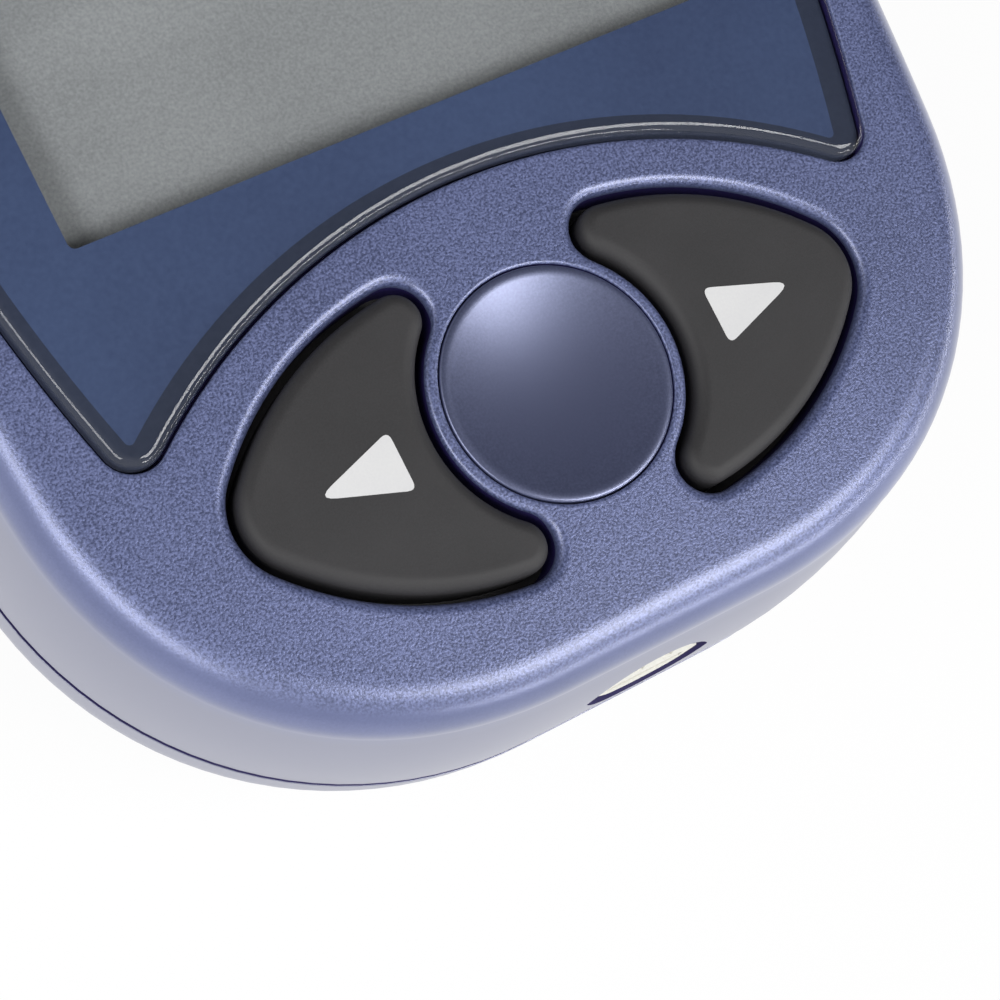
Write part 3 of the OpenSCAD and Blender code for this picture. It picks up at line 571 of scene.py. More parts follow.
def lensOutline(sizes):
    hollow = (0, sizes["hollowY"])
    near = (sizes["halfWidth"] - sizes["nearRadius"], sizes["widestY"])
    far = (sizes["halfWidth"] - sizes["farRadius"], sizes["widestY"])
    top = (0, sizes["topY"])
    corner = meet(hollow, sizes["hollowRadius"] + sizes["cornerRadius"],
        near, sizes["nearRadius"] - sizes["cornerRadius"], -1)
    topCorner = meet(top, sizes["topRadius"] - sizes["topCornerRadius"],
        far, sizes["farRadius"] - sizes["topCornerRadius"], -1)
    half = joined([
        arc(hollow, sizes["hollowRadius"], 90, bearing(hollow, corner), -1, 0.8),
        arc(corner, sizes["cornerRadius"], bearing(corner, hollow), bearing(near, corner), 1, 0.15),
        arc(near, sizes["nearRadius"], bearing(near, corner), 0),
        arc(far, sizes["farRadius"], 0, bearing(far, topCorner)),
        arc(topCorner, sizes["topCornerRadius"], bearing(far, topCorner),
            bearing(top, topCorner), 1, 0.5),
        arc(top, sizes["topRadius"], bearing(top, topCorner), 90)])
    return bothHalves([(*hollow, sizes["hollowRadius"], 90, -1)] + half)


lensEdge = lensOutline(lensOutlineSizes)

# The right-hand key opening
keyOutlineSizes = {"disc": (0, -38.1), "axisY": -38.3, "tipX": 13.15, "tipRadius": 3.3,
    "sideX": 3.9, "sideRadius": 15.7, "innerRadius": 6.16, "hornRadius": 1.65}


def keyOutline(sizes):
    tip = (sizes["tipX"], sizes["axisY"])
    off = math.sqrt((sizes["sideRadius"] - sizes["tipRadius"]) ** 2
        - (sizes["tipX"] - sizes["sideX"]) ** 2)
    upper = (sizes["sideX"], sizes["axisY"] - off)
    lower = (sizes["sideX"], sizes["axisY"] + off)
    disc, horn = sizes["disc"], sizes["hornRadius"]
    hornUp = meet(disc, sizes["innerRadius"] + horn, upper, sizes["sideRadius"] - horn, 1)
    hornDown = meet(disc, sizes["innerRadius"] + horn, lower, sizes["sideRadius"] - horn, -1)
    return joined([
        arc(tip, sizes["tipRadius"], bearing(lower, tip), bearing(upper, tip), 1, 0.3),
        arc(upper, sizes["sideRadius"], bearing(upper, tip), bearing(upper, hornUp), 1, 0.7),
        arc(hornUp, horn, bearing(upper, hornUp), bearing(hornUp, disc) + 360, 1, 0.15),
        arc(disc, sizes["innerRadius"], bearing(disc, hornUp), bearing(disc, hornDown), -1, 0.4),
        arc(hornDown, horn, bearing(hornDown, disc), bearing(lower, hornDown) + 360, 1, 0.15),
        arc(lower, sizes["sideRadius"], bearing(lower, hornDown), bearing(lower, tip), 1, 0.7)])


keyEdge = keyOutline(keyOutlineSizes)
keyEdgeLeft = [(-x, y, radius, 180 - angle, side) for x, y, radius, angle, side in keyEdge]

windowSizes = {"low": (-18.2, -25.1), "high": (18.2, 22.9), "corner": 0.4}
windowEdge = roundedBox(windowSizes["low"], windowSizes["high"], windowSizes["corner"])
rightScrews = ((18.27, -31.5), (17.43, 33.0))
screwSpots = [(side * x, y) for side in (-1, 1) for x, y in rightScrews]
pastEnd = 60      # beyond the case's display end, for what is cut off there

topShellSizes = {"parting": 10.5, "seamGap": 0.15, "seamRound": 0.07, "setBack": 0.07,
    "wallTop": 19.3, "face": 21.5, "lean": 0.7, "endLean": 0.65, "curve": 2.2, "edgeRound": 2.2,
    "underside": 19.3, "discRadius": 5.56, "discFloor": 20.2, "faceBand": 0.3,
    "lip": 0.85, "lipTop": 11.8, "innerLow": (2.0, 0.2), "innerHigh": (18.1, 2.55), "innerRound": 1.2,
    "lensGap": 0.12, "lensFloor": 20.25, "lensRim": 0.16, "discRim": 0.12, "keyRim": 0.5,
    "boardTop": 11.6, "bossRadius": 2.4, "pilotRadius": 1.0, "pilotTop": 17.9,
    "bossTop": 20, "eyeWidth": 6.8, "eyeHeight": 4.6, "eyeHeightAbove": 15.2, "eyeRim": 0.08,
    "eyeDepth": 3.9, "rimShare": 0.45}


def eyeOutline(width, height):      # points (x, z) round an eye where two equal circles overlap
    radius = (width * width / 4 + height * height / 4) / height
    reach = math.degrees(math.asin(width / 2 / radius))
    steps = 19
    upper = [(radius * math.sin(math.radians(reach * (1 - 2 * i / steps))),
        radius * math.cos(math.radians(reach * (1 - 2 * i / steps))) - radius + height / 2)
        for i in range(steps)]
    return upper + [(-x, -z) for x, z in upper]


def eyeCutter(sizes):      # its mouth flares out to round the opening's rim
    middle, rim = sizes["eyeHeightAbove"], sizes["eyeRim"]
    wall, lean = sizes["wallTop"] - sizes["parting"], sizes["lean"] + sizes["endLean"]
    levels = [(-1.2, rim), (0.0, rim)] + [(rim * s, rim * (1 - math.sqrt(1 - (1 - s) ** 2)))
        for s in (0.08, 0.2, 0.35, 0.55, 0.78, 1)] + [(sizes["eyeDepth"], 0)]
    rings = []
    for depth, flare in levels:
        points = eyeOutline(sizes["eyeWidth"] + 2.2 * flare, sizes["eyeHeight"] + 2 * flare)
        rings.append([(x, depth - outlineSizes["halfLength"]
            + lean * ((middle + z - sizes["parting"]) / wall) ** sizes["curve"], middle + z)
            for x, z in points])
    return solid("eyeCutter", rings)


def rimWidth(x, y):      # narrower where the wall towards the disc is thin
    spare = math.dist((x, y), keyOutlineSizes["disc"]) - topShellSizes["discRadius"]
    return min(topShellSizes["keyRim"], topShellSizes["rimShare"] * spare)


def makeTopShell(sizes):
    skin = Skin()
    face, lean, edge = sizes["face"], sizes["lean"], sizes["edgeRound"]
    low = sizes["parting"] + sizes["seamGap"]
    seam = sizes["seamRound"]
    outer = [ring(caseEdge, low + seam * (1 - c), -sizes["setBack"] - seam * (1 - s))
        for s, c in quarter(3)]
    end, start = sizes["endLean"], low + seam
    wallSteps = 10
    for i in range(1, wallSteps + 1):
        height = start + (sizes["wallTop"] - start) * i / wallSteps
        share = ((height - sizes["parting"]) / (sizes["wallTop"] - sizes["parting"])) ** sizes["curve"]
        outer.append(ring(caseEdge, height, -lean * share - sizes["setBack"] * (1 - share),
            end * share))
    outer += [ring(caseEdge, face - edge * (1 - s), -lean - edge * (1 - c), end)
        for s, c in quarter(16)[1:]]
    outer.append(ring(caseEdge, face, -lean - edge - sizes["faceBand"], end))
    lip, lipTop, (lowInset, lowLean) = sizes["lip"], sizes["lipTop"], sizes["innerLow"]
    (highStart, highInset), bend = sizes["innerHigh"], sizes["innerRound"]
    inner = [ring(caseEdge, low, -lip), ring(caseEdge, lipTop, -lip),
        ring(caseEdge, lipTop, -lowInset, lowLean), ring(caseEdge, highStart, -highInset, end)]
    inner += [ring(caseEdge, highStart + bend * s, -highInset - bend * (1 - c), end)
        for s, c in quarter(5)[1:]]
    outerRings = skin.wrap(outer)
    faceHoles, rimEnds = [], []
    for outline in (keyEdge, keyEdgeLeft):
        walls = [ring(outline, face, lambda x, y: 1.3 * rimWidth(x, y))]
        for s, c in quarter(7):
            walls.append(ring(outline, face, lambda x, y, s=s: rimWidth(x, y) * (1 - s)))
            walls[-1] = [(px, py, face - (1 - c) * rimWidth(*spot(station, 0)))
                for (px, py, pz), station in zip(walls[-1], outline)]
        made = skin.wrap(walls)
        faceHoles.append(made[0])
        rimEnds.append((outline, made[-1]))
    lensWalls = [ring(lensEdge, face, sizes["lensGap"] + sizes["lensRim"] * 1.6)]
    lensWalls += [ring(lensEdge, face - sizes["lensRim"] * (1 - c),
        sizes["lensGap"] + sizes["lensRim"] * (1 - s)) for s, c in quarter(4)]
    lensRings = skin.wrap(lensWalls)
    pocket = circle(keyOutlineSizes["disc"], sizes["discRadius"], 128)
    discWalls = [ring(pocket, face, sizes["discRim"] * 1.4)]
    discWalls += [ring(pocket, face - sizes["discRim"] * (1 - c), sizes["discRim"] * (1 - s))
        for s, c in quarter(3)]
    discRings = skin.wrap(discWalls)
    skin.fill(outerRings[-1], lensRings[0], discRings[0], *faceHoles)
    painted = set(skin.mesh.faces)
    innerRings = skin.wrap([outerRings[0]] + inner)
    undersideHoles = [skin.wrap([end, ring(outline, sizes["underside"])])[-1]
        for outline, end in rimEnds]
    floorRings = skin.wrap([lensRings[-1], ring(lensEdge, sizes["lensFloor"], sizes["lensGap"])])
    windowRings = skin.wrap([ring(windowEdge, sizes["lensFloor"]),
        ring(windowEdge, sizes["underside"])])
    skin.fill(floorRings[-1], windowRings[0])
    skin.fill(skin.wrap([discRings[-1], ring(pocket, sizes["discFloor"])])[-1])
    skin.fill(innerRings[-1], windowRings[-1], *undersideHoles)
    skin.bare(painted)
    made = skin.object("topShell")
    steps = []
    for place in screwSpots:
        boss = circle(place, sizes["bossRadius"], 48)
        steps.append(("UNION", solid("boss", [ring(boss, sizes["boardTop"]),
            ring(boss, sizes["bossTop"])])))
    for place in screwSpots:
        pilot = circle(place, sizes["pilotRadius"], 32)
        steps.append(("DIFFERENCE", solid("pilot", [ring(pilot, sizes["boardTop"] - 1),
            ring(pilot, sizes["boardTop"] + 0.01, 0), ring(pilot, sizes["pilotTop"])])))
    steps.append(("DIFFERENCE", eyeCutter(sizes)))
    carve(made, steps)
    finishPiece(made, ["housing", "navyPlastic"], "case", ["top_housing"])


makeTopShell(topShellSizes)

backShellSizes = {"parting": 10.5, "seamGap": 0.15, "seamRound": 0.04, "roundWidth": 7.5,
    "roundHeight": 9.0, "floor": 2.0, "wall": 1.8, "lipTop": 11.7, "lipOffset": -0.95,
    "doorHalf": 13.2, "doorStart": 13.8, "doorTop": 6.2, "tubStart": 12.2, "tubEnd": 49.2,
    "tubRoof": 6.8, "tubWall": 1.2, "headSpace": 2.2, "headDepth": 5.0, "shankSpace": 1.28,
    "bossWall": 0.8, "boardHeight": 10.0, "rim": 0.3, "coreInset": 0.9, "contactY": (23.0, 39.4),
    "contactHalf": (1.3, 0.45), "contactZ": (6, 9), "railX": (12.2, 13.4), "railY": (15, 39.5),
    "railZ": (2.05, 2.95)}


def backProfile(sizes, drop=0.0, inset=0.0):      # (height, offset) pairs up to the side wall
    height, width = sizes["roundHeight"] - drop, sizes["roundWidth"] - inset
    return [(drop + height * (1 - c), width * (s - 1) - inset) for s, c in quarter(24)]


def outerBackRings(sizes):
    rings = [ring(caseEdge, 0, -sizes["roundWidth"] - 0.4)]
    rings += [ring(caseEdge, z, d) for z, d in backProfile(sizes)]
    return rings


cellNestSizes = {"centre": (0, 27.5), "outerRadius": 11.0, "innerRadius": 10.2, "low": 3.3,
    "high": 7.0, "mouthHalf": 6, "mouthEnd": 45, "cutLow": 2, "cutHigh": 8}


def makeCellNest(sizes):
    outer = circle(sizes["centre"], sizes["outerRadius"])
    inner = circle(sizes["centre"], sizes["innerRadius"])
    low, high, half = sizes["cutLow"], sizes["cutHigh"], sizes["mouthHalf"]
    nest = solid("nest", [ring(outer, sizes["low"]), ring(outer, sizes["high"])])
    return carve(nest, [
        ("DIFFERENCE", solid("hole", [ring(inner, low), ring(inner, high)])),
        ("DIFFERENCE", block("mouth", (-half, sizes["centre"][1], low), (half, sizes["mouthEnd"], high)))])


def screwTools(sizes):
    tools = []
    for place in screwSpots:
        head, shank = circle(place, sizes["headSpace"], 64), circle(place, sizes["shankSpace"], 64)
        rim = sizes["rim"]
        rings = [ring(head, -1, rim), ring(head, 0.0, rim)]
        rings += [ring(head, rim * s, rim * (1 - math.sqrt(1 - (1 - s) ** 2))) for s in (0.3, 0.6, 1)]
        rings += [ring(head, sizes["headDepth"]), ring(shank, sizes["headDepth"]), ring(shank, 13)]
        tools.append(("DIFFERENCE", solid("paintedScrewHole", rings)))
    return tools


def makeBackShell(sizes):
    skin = Skin()
    high = sizes["parting"] - sizes["seamGap"]
    seam = sizes["seamRound"]
    outer = outerBackRings(sizes)
    outer += [ring(caseEdge, high - seam * (1 - s), -seam * (1 - c)) for s, c in quarter(3)]
    outer = skin.wrap(outer)
    skin.fill(outer[0])
    painted = set(skin.mesh.faces)
    rings = [outer[-1], ring(caseEdge, high, sizes["lipOffset"]),
        ring(caseEdge, sizes["lipTop"] - 0.15, sizes["lipOffset"]),
        ring(caseEdge, sizes["lipTop"], sizes["lipOffset"] - 0.15),
        ring(caseEdge, sizes["lipTop"], -sizes["wall"])]
    rings += [ring(caseEdge, z, d) for z, d in
        reversed(backProfile(sizes, sizes["floor"], sizes["wall"]))]
    skin.fill(skin.wrap(rings)[-1])
    skin.bare(painted)
    made = skin.object("backShell")
    inset = sizes["coreInset"]
    core = solid("core", [ring(caseEdge, z + inset, d - inset) for z, d in backProfile(sizes)]
        + [ring(caseEdge, 12, -inset)])
    wall, half = sizes["tubWall"], sizes["doorHalf"]
    inside = block("tub", (-half - wall, sizes["tubStart"] - wall, 0.5),
        (half + wall, 53, sizes["tubRoof"] + wall), 0.6)
    bosses = []
    for place in screwSpots:
        boss = circle(place, sizes["headSpace"] + sizes["bossWall"], 64)
        bosses.append(("UNION", solid("boss", [ring(boss, 0.5), ring(boss, sizes["boardHeight"])])))
    carve(inside, bosses + [("INTERSECT", core)])
    rim = sizes["rim"]
    doorEdge = roundedBox((-half, sizes["doorStart"]), (half, pastEnd), 0.15)
    mouth = [ring(doorEdge, -1, rim), ring(doorEdge, 0, rim)]
    mouth += [ring(doorEdge, rim * s, rim * (1 - math.sqrt(1 - (1 - s) ** 2)))
        for s in (0.1, 0.25, 0.45, 0.7, 1)]
    mouth.append(ring(doorEdge, sizes["doorTop"]))
    steps = [("UNION", inside), ("DIFFERENCE", solid("paintedDoorSpace", mouth)),
        ("DIFFERENCE", block("tubSpace", (-half + 0.01, sizes["tubStart"], sizes["floor"]),
            (half - 0.01, sizes["tubEnd"], sizes["tubRoof"]), 0.3))]
    steps += screwTools(sizes)
    (halfX, halfY), (slotLow, slotHigh) = sizes["contactHalf"], sizes["contactZ"]
    for y in sizes["contactY"]:
        steps.append(("DIFFERENCE", block("contactSlot", (-halfX, y - halfY, slotLow),
            (halfX, y + halfY, slotHigh))))
    (near, far), (railLow, railHigh) = sizes["railY"], sizes["railZ"]
    for side in (-1, 1):
        x0, x1 = sorted(side * x for x in sizes["railX"])
        steps.append(("UNION", block("rail", (x0, near, railLow), (x1, far, railHigh), 0.15)))
    steps.append(("UNION", makeCellNest(cellNestSizes)))
    carve(made, steps)
    finishPiece(made, ["housing", "navyPlastic"], "case", ["bottom_housing"])


makeBackShell(backShellSizes)


def placedCopies():      # copies of a piece on each place, turned by a seeded random angle
    tree = bpy.data.node_groups.new("placedCopies", "GeometryNodeTree")
    sockets = {}
    for name, kind in (("Places", "Geometry"), ("Piece", "Object"), ("Turn", "Float"), ("Seed", "Int"),
            ("Finish", "Material")):
        sockets[name] = tree.interface.new_socket(name=name, in_out="INPUT",
            socket_type="NodeSocket" + kind).identifier
    tree.interface.new_socket(name="Copies", in_out="OUTPUT", socket_type="NodeSocketGeometry")
    start, end = tree.nodes.new("NodeGroupInput"), tree.nodes.new("NodeGroupOutput")
    piece, turn, angles, copies, joint, finish = (tree.nodes.new(kind) for kind in (
        "GeometryNodeObjectInfo", "FunctionNodeRandomValue", "ShaderNodeCombineXYZ",
        "GeometryNodeInstanceOnPoints", "GeometryNodeRealizeInstances", "GeometryNodeSetMaterial"))
    turn.data_type = "FLOAT"
    for source, name, target, socket in (
            (start, "Piece", piece, "Object"), (start, "Turn", turn, 3), (start, "Seed", turn, "Seed"),
            (turn, 1, angles, "Z"), (start, "Places", copies, "Points"),
            (piece, "Geometry", copies, "Instance"), (angles, 0, copies, "Rotation"),
            (copies, 0, joint, 0), (joint, 0, finish, "Geometry"),
            (start, "Finish", finish, "Material"), (finish, 0, end, "Copies")):
        tree.links.new(source.outputs[name], target.inputs[socket])
    return tree, sockets


copyTree, copySockets = placedCopies()


def repeated(name, piece, places, finish, turn=0.0, seed=1):
    data = bpy.data.meshes.new(name)
    data.from_pydata(places, [], [])
    made = linked(name, data)
    modifier = made.modifiers.new("copies", "NODES")
    modifier.node_group = copyTree
    for key, value in (("Piece", piece), ("Turn", turn), ("Seed", seed), ("Finish", finishes[finish])):
        modifier[copySockets[key]] = value
    evaluated(made)
    bpy.data.objects.remove(piece)
    return made


batteryDoorSizes = {"half": 13.0, "start": 14.0, "height": 6.0, "edge": 0.3, "drop": 1.8, "wall": 1.8,
    "top": 1.75, "neckIn": 11.35, "neckOut": 11.95, "hookOut": 12.95, "hookY": (16.3, 20.7),
    "hookZ": (3.2, 4.1), "tongueIn": 10.4, "tongueY": (12.6, 15.0), "tongueZ": (2.15, 3.05),
    "grooveHalf": 6.0, "grooveDepth": 0.4, "grooves": 5, "grooveStart": 35.0, "groovePitch": 2.0}


def makeBatteryDoor(sizes):
    half, start, edge, depth = sizes["half"], sizes["start"], sizes["edge"], sizes["grooveDepth"]
    made = solid("batteryDoor", outerBackRings(backShellSizes) + [ring(caseEdge, 10)])
    outline = roundedBox((-half, start), (half, pastEnd), edge + 0.15)
    frameRings = [ring(outline, -1, -edge)]
    frameRings += [ring(outline, edge * (1 - c), -edge * (1 - s)) for s, c in quarter(4)]
    frameRings.append(ring(outline, sizes["height"]))
    profile = backProfile(backShellSizes, backShellSizes["floor"], sizes["wall"])
    shift = sizes["drop"] - backShellSizes["floor"]
    hollow = [ring(caseEdge, z + shift, d) for z, d in profile] + [ring(caseEdge, 12, -sizes["wall"])]
    bar = roundedBox((-sizes["grooveHalf"], 0), (sizes["grooveHalf"], 1), 0.45)
    groove = solid("groove", [ring(bar, z, d) for z, d in
        ((-1, 0.12), (0, 0.12), (0.04, 0.04), (0.12, 0), (depth - 0.15, 0), (depth, -0.15))])
    places = [(0, sizes["grooveStart"] + sizes["groovePitch"] * i, 0) for i in range(sizes["grooves"])]
    steps = [("INTERSECT", solid("paintedFrame", frameRings)), ("DIFFERENCE", solid("hollow", hollow)),
        ("DIFFERENCE", repeated("paintedGrooves", groove, places, "housing"))]
    top, (tongueLow, tongueHigh) = sizes["top"], sizes["tongueZ"]
    for side in (-1, 1):
        for inner, outer, (near, far), (low, high) in (
                (sizes["neckIn"], sizes["neckOut"], sizes["hookY"], (top, sizes["hookZ"][1])),
                (sizes["neckIn"], sizes["hookOut"], sizes["hookY"], sizes["hookZ"]),
                (sizes["tongueIn"], sizes["neckOut"], sizes["tongueY"], sizes["tongueZ"]),
                (sizes["tongueIn"], sizes["neckOut"], (start + 0.01, sizes["tongueY"][1]),
                    (top, tongueHigh))):
            x0, x1 = sorted((side * inner, side * outer))
            steps.append(("UNION", block("clip", (x0, near, low), (x1, far, high), 0.1, 0.06)))
    carve(made, steps)
    finishPiece(made, ["housing", "navyPlastic"], "door", ["battery_door"])


makeBatteryDoor(batteryDoorSizes)

screwSizes = {"profile": [(1.5, 3.7), (1.72, 3.77), (1.86, 3.92), (1.9, 4.1), (1.9, 4.9), (1.8, 5.0),
    (0.98, 5.0), (0.98, 7.6)], "threadStart": 7.9, "threadEnd": 15.2, "pitch": 0.6, "crest": 0.98,
    "root": 0.76, "tip": [(0.7, 15.6), (0.3, 16.0)], "slotHalf": (0.25, 1.3), "slotTop": 4.3}


def makeScrews(sizes):
    profile, height = list(sizes["profile"]), sizes["threadStart"]
    while height < sizes["threadEnd"]:
        profile += [(sizes["root"], height), (sizes["crest"], height + 0.18),
            (sizes["crest"], height + 0.24), (sizes["root"], height + 0.42)]
        height += sizes["pitch"]
    profile += sizes["tip"]
    screw = solid("screw", [ring(circle((0, 0), r, 40), z) for r, z in profile])
    thin, wide = sizes["slotHalf"]
    carve(screw, [("DIFFERENCE", block("slot", (-x, -y, 3), (x, y, sizes["slotTop"]), 0.08))
        for x, y in ((thin, wide), (wide, thin))])
    made = repeated("caseScrews", screw, [(x, y, 0) for x, y in screwSpots], "screwSteel",
        math.pi, 7)
    finishPiece(made, ["screwSteel"], "case", ["case_screws"])


makeScrews(screwSizes)

coinCellSizes = {"centre": cellNestSizes["centre"], "profile": [
    (6.9, 2.45), (7.0, 2.5), (7.3, 2.5), (7.4, 2.45),
    (9.65, 2.45), (9.85, 2.51), (9.96, 2.63), (10.0, 2.8), (10.0, 5.0), (9.94, 5.2), (9.8, 5.32),
    (9.6, 5.35), (9.0, 5.3), (8.75, 5.2), (8.6, 5.1), (8.5, 5.12), (8.4, 5.25), (8.4, 5.5),
    (8.34, 5.6), (8.2, 5.65)]}


def makeCoinCell(sizes):
    made = solid("coinCell", [ring(circle(sizes["centre"], r), z) for r, z in sizes["profile"]])
    finishPiece(made, ["cellSteel"], "case", ["coin_cell"])


makeCoinCell(coinCellSizes)

# The lens print carries a darker band 1.25 mm wide along its edge: painted shade for the dark reflection
# in the lens's rounded edge
lensSizes = {"low": 20.4, "high": 22.0, "roundWidth": 0.6, "roundHeight": 0.6, "inkLow": 20.42,
    "inkHigh": 20.9, "inkGap": -0.05, "edgeShadeBand": 1.25, "viewLow": (-17.2, -24.1),
    "viewHigh": (17.2, 21.9), "viewCorner": 0.35}


def makeLens(sizes):
    low, high = sizes["low"], sizes["high"]
    width, height = sizes["roundWidth"], sizes["roundHeight"]
    rings = [ring(lensEdge, low, -0.1), ring(lensEdge, low + 0.1)]
    rings += [ring(lensEdge, high - height * (1 - s), -width * (1 - c)) for s, c in quarter(14)]
    rings.append(ring(lensEdge, high, -width - 0.25))
    finishPiece(solid("lensPane", rings), ["acrylic"], "case", ["display_lens"])
    skin = Skin()
    view = roundedBox(sizes["viewLow"], sizes["viewHigh"], sizes["viewCorner"])
    inkLow, inkHigh, gap = sizes["inkLow"], sizes["inkHigh"], sizes["inkGap"]
    outer = skin.wrap([ring(lensEdge, inkLow, gap), ring(lensEdge, inkHigh, gap),
        ring(lensEdge, inkHigh, -sizes["edgeShadeBand"])])
    inner = skin.wrap([ring(view, inkLow), ring(view, inkHigh)])
    skin.fill(outer[0], inner[0])
    # the faces made so far, the band under the rounded edge included, take the darker ink: painted shade
    edgeShadeBand = set(skin.mesh.faces)
    skin.fill(outer[2], inner[1])
    skin.bare(set(skin.mesh.faces) - edgeShadeBand)
    finishPiece(skin.object("lensPrint"), ["ink", "edgeShadeInk"], "case")


makeLens(lensSizes)

displaySizes = {"low": (-19.2, -26.1), "high": (19.2, 23.9), "base": 17.0, "glassTop": 18.82,
    "top": 19.0, "filmInset": 0.45, "filmEdge": 0.03, "edge": 0.08, "corner": 0.3}


def makeDisplay(sizes):
    outline = roundedBox(sizes["low"], sizes["high"], sizes["corner"])
    base, glass, top = sizes["base"], sizes["glassTop"], sizes["top"]
    edge, film, thin = sizes["edge"], sizes["filmInset"], sizes["filmEdge"]
    middle = (base + glass) / 2
    rings = [ring(outline, base, -edge), ring(outline, base + edge), ring(outline, middle - edge),
        ring(outline, middle, -edge), ring(outline, middle + edge), ring(outline, glass - edge),
        ring(outline, glass, -edge), ring(outline, glass, -film), ring(outline, top - thin, -film),
        ring(outline, top, -film - thin)]
    finishPiece(solid("displayPanel", rings), ["display"], "case", ["display_panel"])


makeDisplay(displaySizes)

discSizes = {"centre": keyOutlineSizes["disc"], "radius": 5.5, "base": 20.2, "top": 21.5, "edge": 0.14,
    "rim": 0.35, "dish": 0.55}


def makeDisc(sizes):
    outline = circle(sizes["centre"], sizes["radius"], 128)
    edge, top, dish = sizes["edge"], sizes["top"], sizes["dish"]
    rings = [ring(outline, sizes["base"], -0.1), ring(outline, sizes["base"] + 0.1)]
    rings += [ring(outline, top - edge * (1 - s), -edge * (1 - c)) for s, c in quarter(4)]
    bowl = sizes["radius"] - sizes["rim"]
    radius = (bowl * bowl + dish * dish) / (2 * dish)
    steps = 28
    for i in range(steps):
        reach = bowl * (1 - i / steps)
        depth = math.sqrt(radius * radius - reach * reach) - (radius - dish)
        rings.append(ring(outline, top - depth, reach - sizes["radius"]))
    skin = Skin()
    made = skin.wrap(rings)
    skin.fill(made[0])
    middle = skin.mesh.verts.new((*sizes["centre"], top - dish))
    last = made[-1]
    for i in range(len(last)):
        skin.mesh.faces.new((last[i - 1], last[i], middle))
    finishPiece(skin.object("centreDisc"), ["disc"], "case", ["centre_disc"])


makeDisc(discSizes)

keySizes = {"base": 16.6, "flangeLow": 17.9, "flangeHigh": 19.1, "flangeReach": 0.9, "gap": 0.4,
    "crown": 21.8, "round": 0.7}


def makeKey(name, outline, sizes, body, node):
    gap, crown, soft = sizes["gap"], sizes["crown"], sizes["round"]
    low, high, reach = sizes["flangeLow"], sizes["flangeHigh"], sizes["flangeReach"]
    rings = [ring(outline, sizes["base"], -gap - 0.1), ring(outline, sizes["base"] + 0.1, -gap),
        ring(outline, low, -gap), ring(outline, low, reach - 0.1), ring(outline, low + 0.1, reach),
        ring(outline, high - 0.1, reach), ring(outline, high, reach - 0.1), ring(outline, high, -gap)]
    rings += [ring(outline, crown - soft * (1 - s), -gap - soft * (1 - c)) for s, c in quarter(10)]
    rings.append(ring(outline, crown, -gap - soft - 0.15))
    finishPiece(solid(name, rings), ["keyRubber"], body, [node])


makeKey("leftKey", keyEdgeLeft, keySizes, "left_button", "left_key")
makeKey("rightKey", keyEdge, keySizes, "right_button", "right_key")

# Plain marks: an arrowhead on each key that points away from the disc
markSizes = {"low": 21.79, "high": 21.82, "centre": (10.5, -38.4), "length": 4.3, "height": 2.9,
    "corner": 0.32}


def roundedCorners(corners, radius):      # a polygon whose corners are short arcs
    points, count = [], len(corners)
    for i, corner in enumerate(corners):
        here = Vector(corner)
        before, after = ((Vector(corners[(i + k) % count]) - here).normalized() for k in (-1, 1))
        half = before.angle(after) / 2
        reach = radius / math.tan(half)
        start, end = here + before * reach, here + after * reach
        points += [start * (1 - t) ** 2 + here * 2 * t * (1 - t) + end * t * t
            for t in (0, 0.2, 0.4, 0.6, 0.8, 1)]
    return points


def makeMark(name, side, sizes, body):
    x, y = sizes["centre"]
    back, half = x - sizes["length"] / 2, sizes["height"] / 2
    corners = [(side * (back + sizes["length"]), y), (side * back, y + half), (side * back, y - half)]
    points = roundedCorners(corners, sizes["corner"])
    made = solid(name, [[(p.x, p.y, z) for p in points] for z in (sizes["low"], sizes["high"])])
    finishPiece(made, ["mark"], body)


makeMark("leftMark", -1, markSizes, "left_button")
makeMark("rightMark", 1, markSizes, "right_button")

softenedSizes = {      # node, finish, slot and width of the softened edge in mm
    "portInsert": ("strip_port", "creamPlastic", "port_plastic", 0.07),
    "displayFrame": ("display_frame", "whitePlastic", "white_plastic", 0.12),
    "leftSwitchBody": ("left_switch", "blackPlastic", "black_plastic", 0.1),
    "rightSwitchBody": ("right_switch", "blackPlastic", "black_plastic", 0.1),
    "leftPlunger": ("left_plunger", "whitePlastic", "white_plastic", 0.1),
    "rightPlunger": ("right_plunger", "whitePlastic", "white_plastic", 0.1),
    "microcontrollerBody": ("microcontroller", "blackPlastic", "black_plastic", 0.06),
    "memoryChipBody": ("memory_chip", "blackPlastic", "black_plastic", 0.06),
    "buzzerBody": ("buzzer", "blackPlastic", "black_plastic", 0.15),
    "crystalCan": ("crystal", "drawnCan", "component_metal", 0.2),
    "capacitorCans": ("capacitors", "drawnCan", "component_metal", 0.2),
    "circuitBoard": ("main_board", "board", "circuit_board", 0.06),
    "displayConnectors": ("display_connectors", "connector", "connector_rubber", 0.08),
}


def softenedCopy(name, node, finish, width):      # a node's own shape with soft edges
    mesh = bmesh.new()
    mesh.from_mesh(frame["nodes"][node].data)
    mesh.transform(Matrix.Scale(1000, 4))
    bmesh.ops.remove_doubles(mesh, verts=mesh.verts, dist=1e-4)
    bmesh.ops.dissolve_limit(mesh, angle_limit=math.radians(1), verts=mesh.verts, edges=mesh.edges)
    sharp = [e for e in mesh.edges if len(e.link_faces) == 2
        and e.calc_face_angle() > math.radians(25)]
    bmesh.ops.bevel(mesh, geom=sharp, offset=width, segments=2, profile=0.6, affect="EDGES",
        clamp_overlap=True)
    made = meshObject(name, mesh)
    body = next(b for b, names in frame["record"]["behaviour"]["bodies"].items() if node in names)
    finishPiece(made, [finish], body, [node])


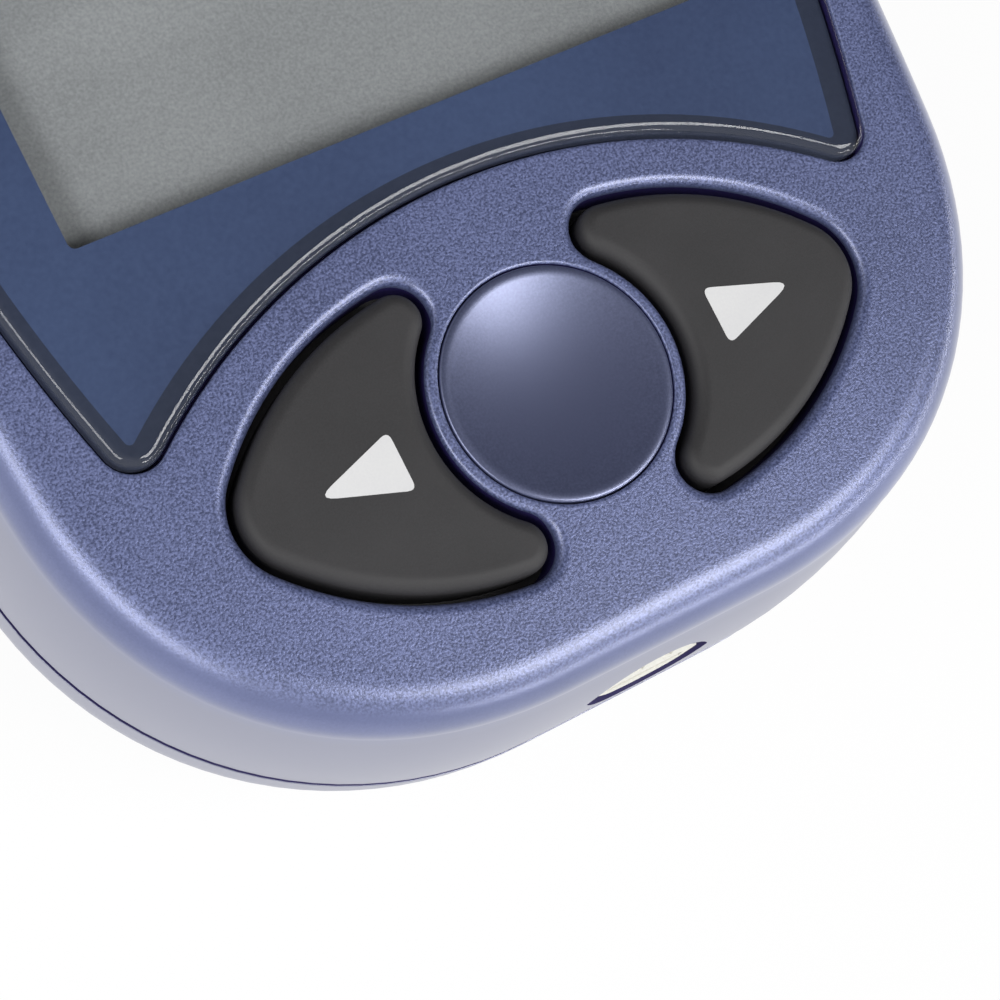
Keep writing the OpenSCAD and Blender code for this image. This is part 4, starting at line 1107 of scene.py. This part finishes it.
for pieceName, (node, finish, slotName, width) in softenedSizes.items():
    softenedCopy(pieceName, node, finish, width)

carriedFinishes = {
    "adhesiveSheet": ["lens_adhesive"],
    "foamRubber": ["display_gasket", "door_pad"],
    "ceramicParts": ["thermistor", "chip_parts"],
    "goldSpring": ["strip_contacts"],
    "nickelSpring": ["negative_contact", "positive_contact"],
}
for finish, nodeNames in carriedFinishes.items():
    for nodeName in nodeNames:
        for place in frame["nodes"][nodeName].material_slots:
            place.material = finishes[finish]
print("carried nodes finished")

lampSizes = {      # bearing and height in degrees as seen from the object, sizes in metres
    "mainSoftbox": {"bearing": -48, "height": 57, "away": 0.6, "size": (0.30, 0.22), "glow": 8.6},
    "nearSoftbox": {"bearing": 190, "height": 44, "away": 0.19, "size": (0.16, 0.05), "glow": 5.2},
    "lowStrip": {"bearing": -64, "height": 19, "away": 0.6, "size": (0.5, 0.035), "glow": 13.0},
    "sideStrip": {"bearing": -22, "height": 9, "away": 0.6, "size": (0.4, 0.03), "glow": 10.0},
}


lampAim = Vector((0, -0.03, 0.02))      # the lamps face this place over the keys


def addLamp(name, look):
    data = bpy.data.lights.new(name, "AREA")
    data.shape = "RECTANGLE"
    data.size, data.size_y = look["size"]
    data.energy = math.pi * look["glow"] * data.size * data.size_y
    lamp = linked(name, data)
    turn, rise = math.radians(look["bearing"]), math.radians(look["height"])
    away = Vector((math.cos(turn) * math.cos(rise), math.sin(turn) * math.cos(rise),
        math.sin(rise)))
    place = away * look["away"] + lampAim
    lamp.matrix_world = Matrix.Translation(place) @ away.to_track_quat("Z", "Y").to_matrix().to_4x4()


for name, look in lampSizes.items():
    addLamp(name, look)

studio = {"dark": 0.03, "bright": 0.85, "span": (0.0, 0.95), "axis": (0.58, 0.42, 0.7),
    "floor": (0.92, 0.92, 0.92), "size": 3.0, "drop": 0.0001, "glow": 0.93}


def seenWhite(recipe):      # 1 for the rays that show the background itself
    camera = recipe.node("ShaderNodeLightPath", out="Is Camera Ray")
    shown = camera.sum("MAXIMUM", camera, camera.output("Is Glossy Ray"))
    return camera.sum("MAXIMUM", shown, camera.output("Is Transmission Ray"))


def addSky(look):      # darker upwards and towards the far right, and plain white to the camera
    sky = bpy.data.worlds.new("studio")
    bpy.context.scene.world = sky
    recipe = Recipe("studio", sky)
    height = recipe.node("ShaderNodeVectorMath", {"operation": "DOT_PRODUCT"}, {
        0: recipe.place.output("Generated"), 1: look["axis"]}, "Value")
    level = recipe.node("ShaderNodeMapRange", {"interpolation_type": "SMOOTHSTEP"}, {
        "Value": height, "From Min": look["span"][0], "From Max": look["span"][1],
        "To Min": look["bright"], "To Max": look["dark"]}, "Result")
    camera = recipe.node("ShaderNodeLightPath", out="Is Camera Ray")
    strength = recipe.node("ShaderNodeMix", {}, {0: camera, 2: level, 3: 1.0})
    recipe.finish(recipe.node("ShaderNodeBackground", {}, {"Strength": strength}),
        "ShaderNodeOutputWorld")


def addFloor(look):
    recipe = Recipe("paleFloor")
    matte = recipe.node("ShaderNodeBsdfDiffuse", {}, {"Color": (*look["floor"], 1)})
    paint = recipe.finish(recipe.node("ShaderNodeMixShader", {}, {
        0: seenWhite(recipe) * look["glow"], 1: matte, 2: recipe.node("ShaderNodeEmission")}))
    half, below = look["size"] / 2, -look["drop"]
    data = bpy.data.meshes.new("floor")
    data.from_pydata([(-half, -half, below), (half, -half, below), (half, half, below),
        (-half, half, below)], [], [(0, 1, 2, 3)])
    data.materials.append(paint)
    linked("floor", data)


addSky(studio)
addFloor(studio)
bpy.context.scene.view_settings.view_transform = "Standard"
print("studio set")
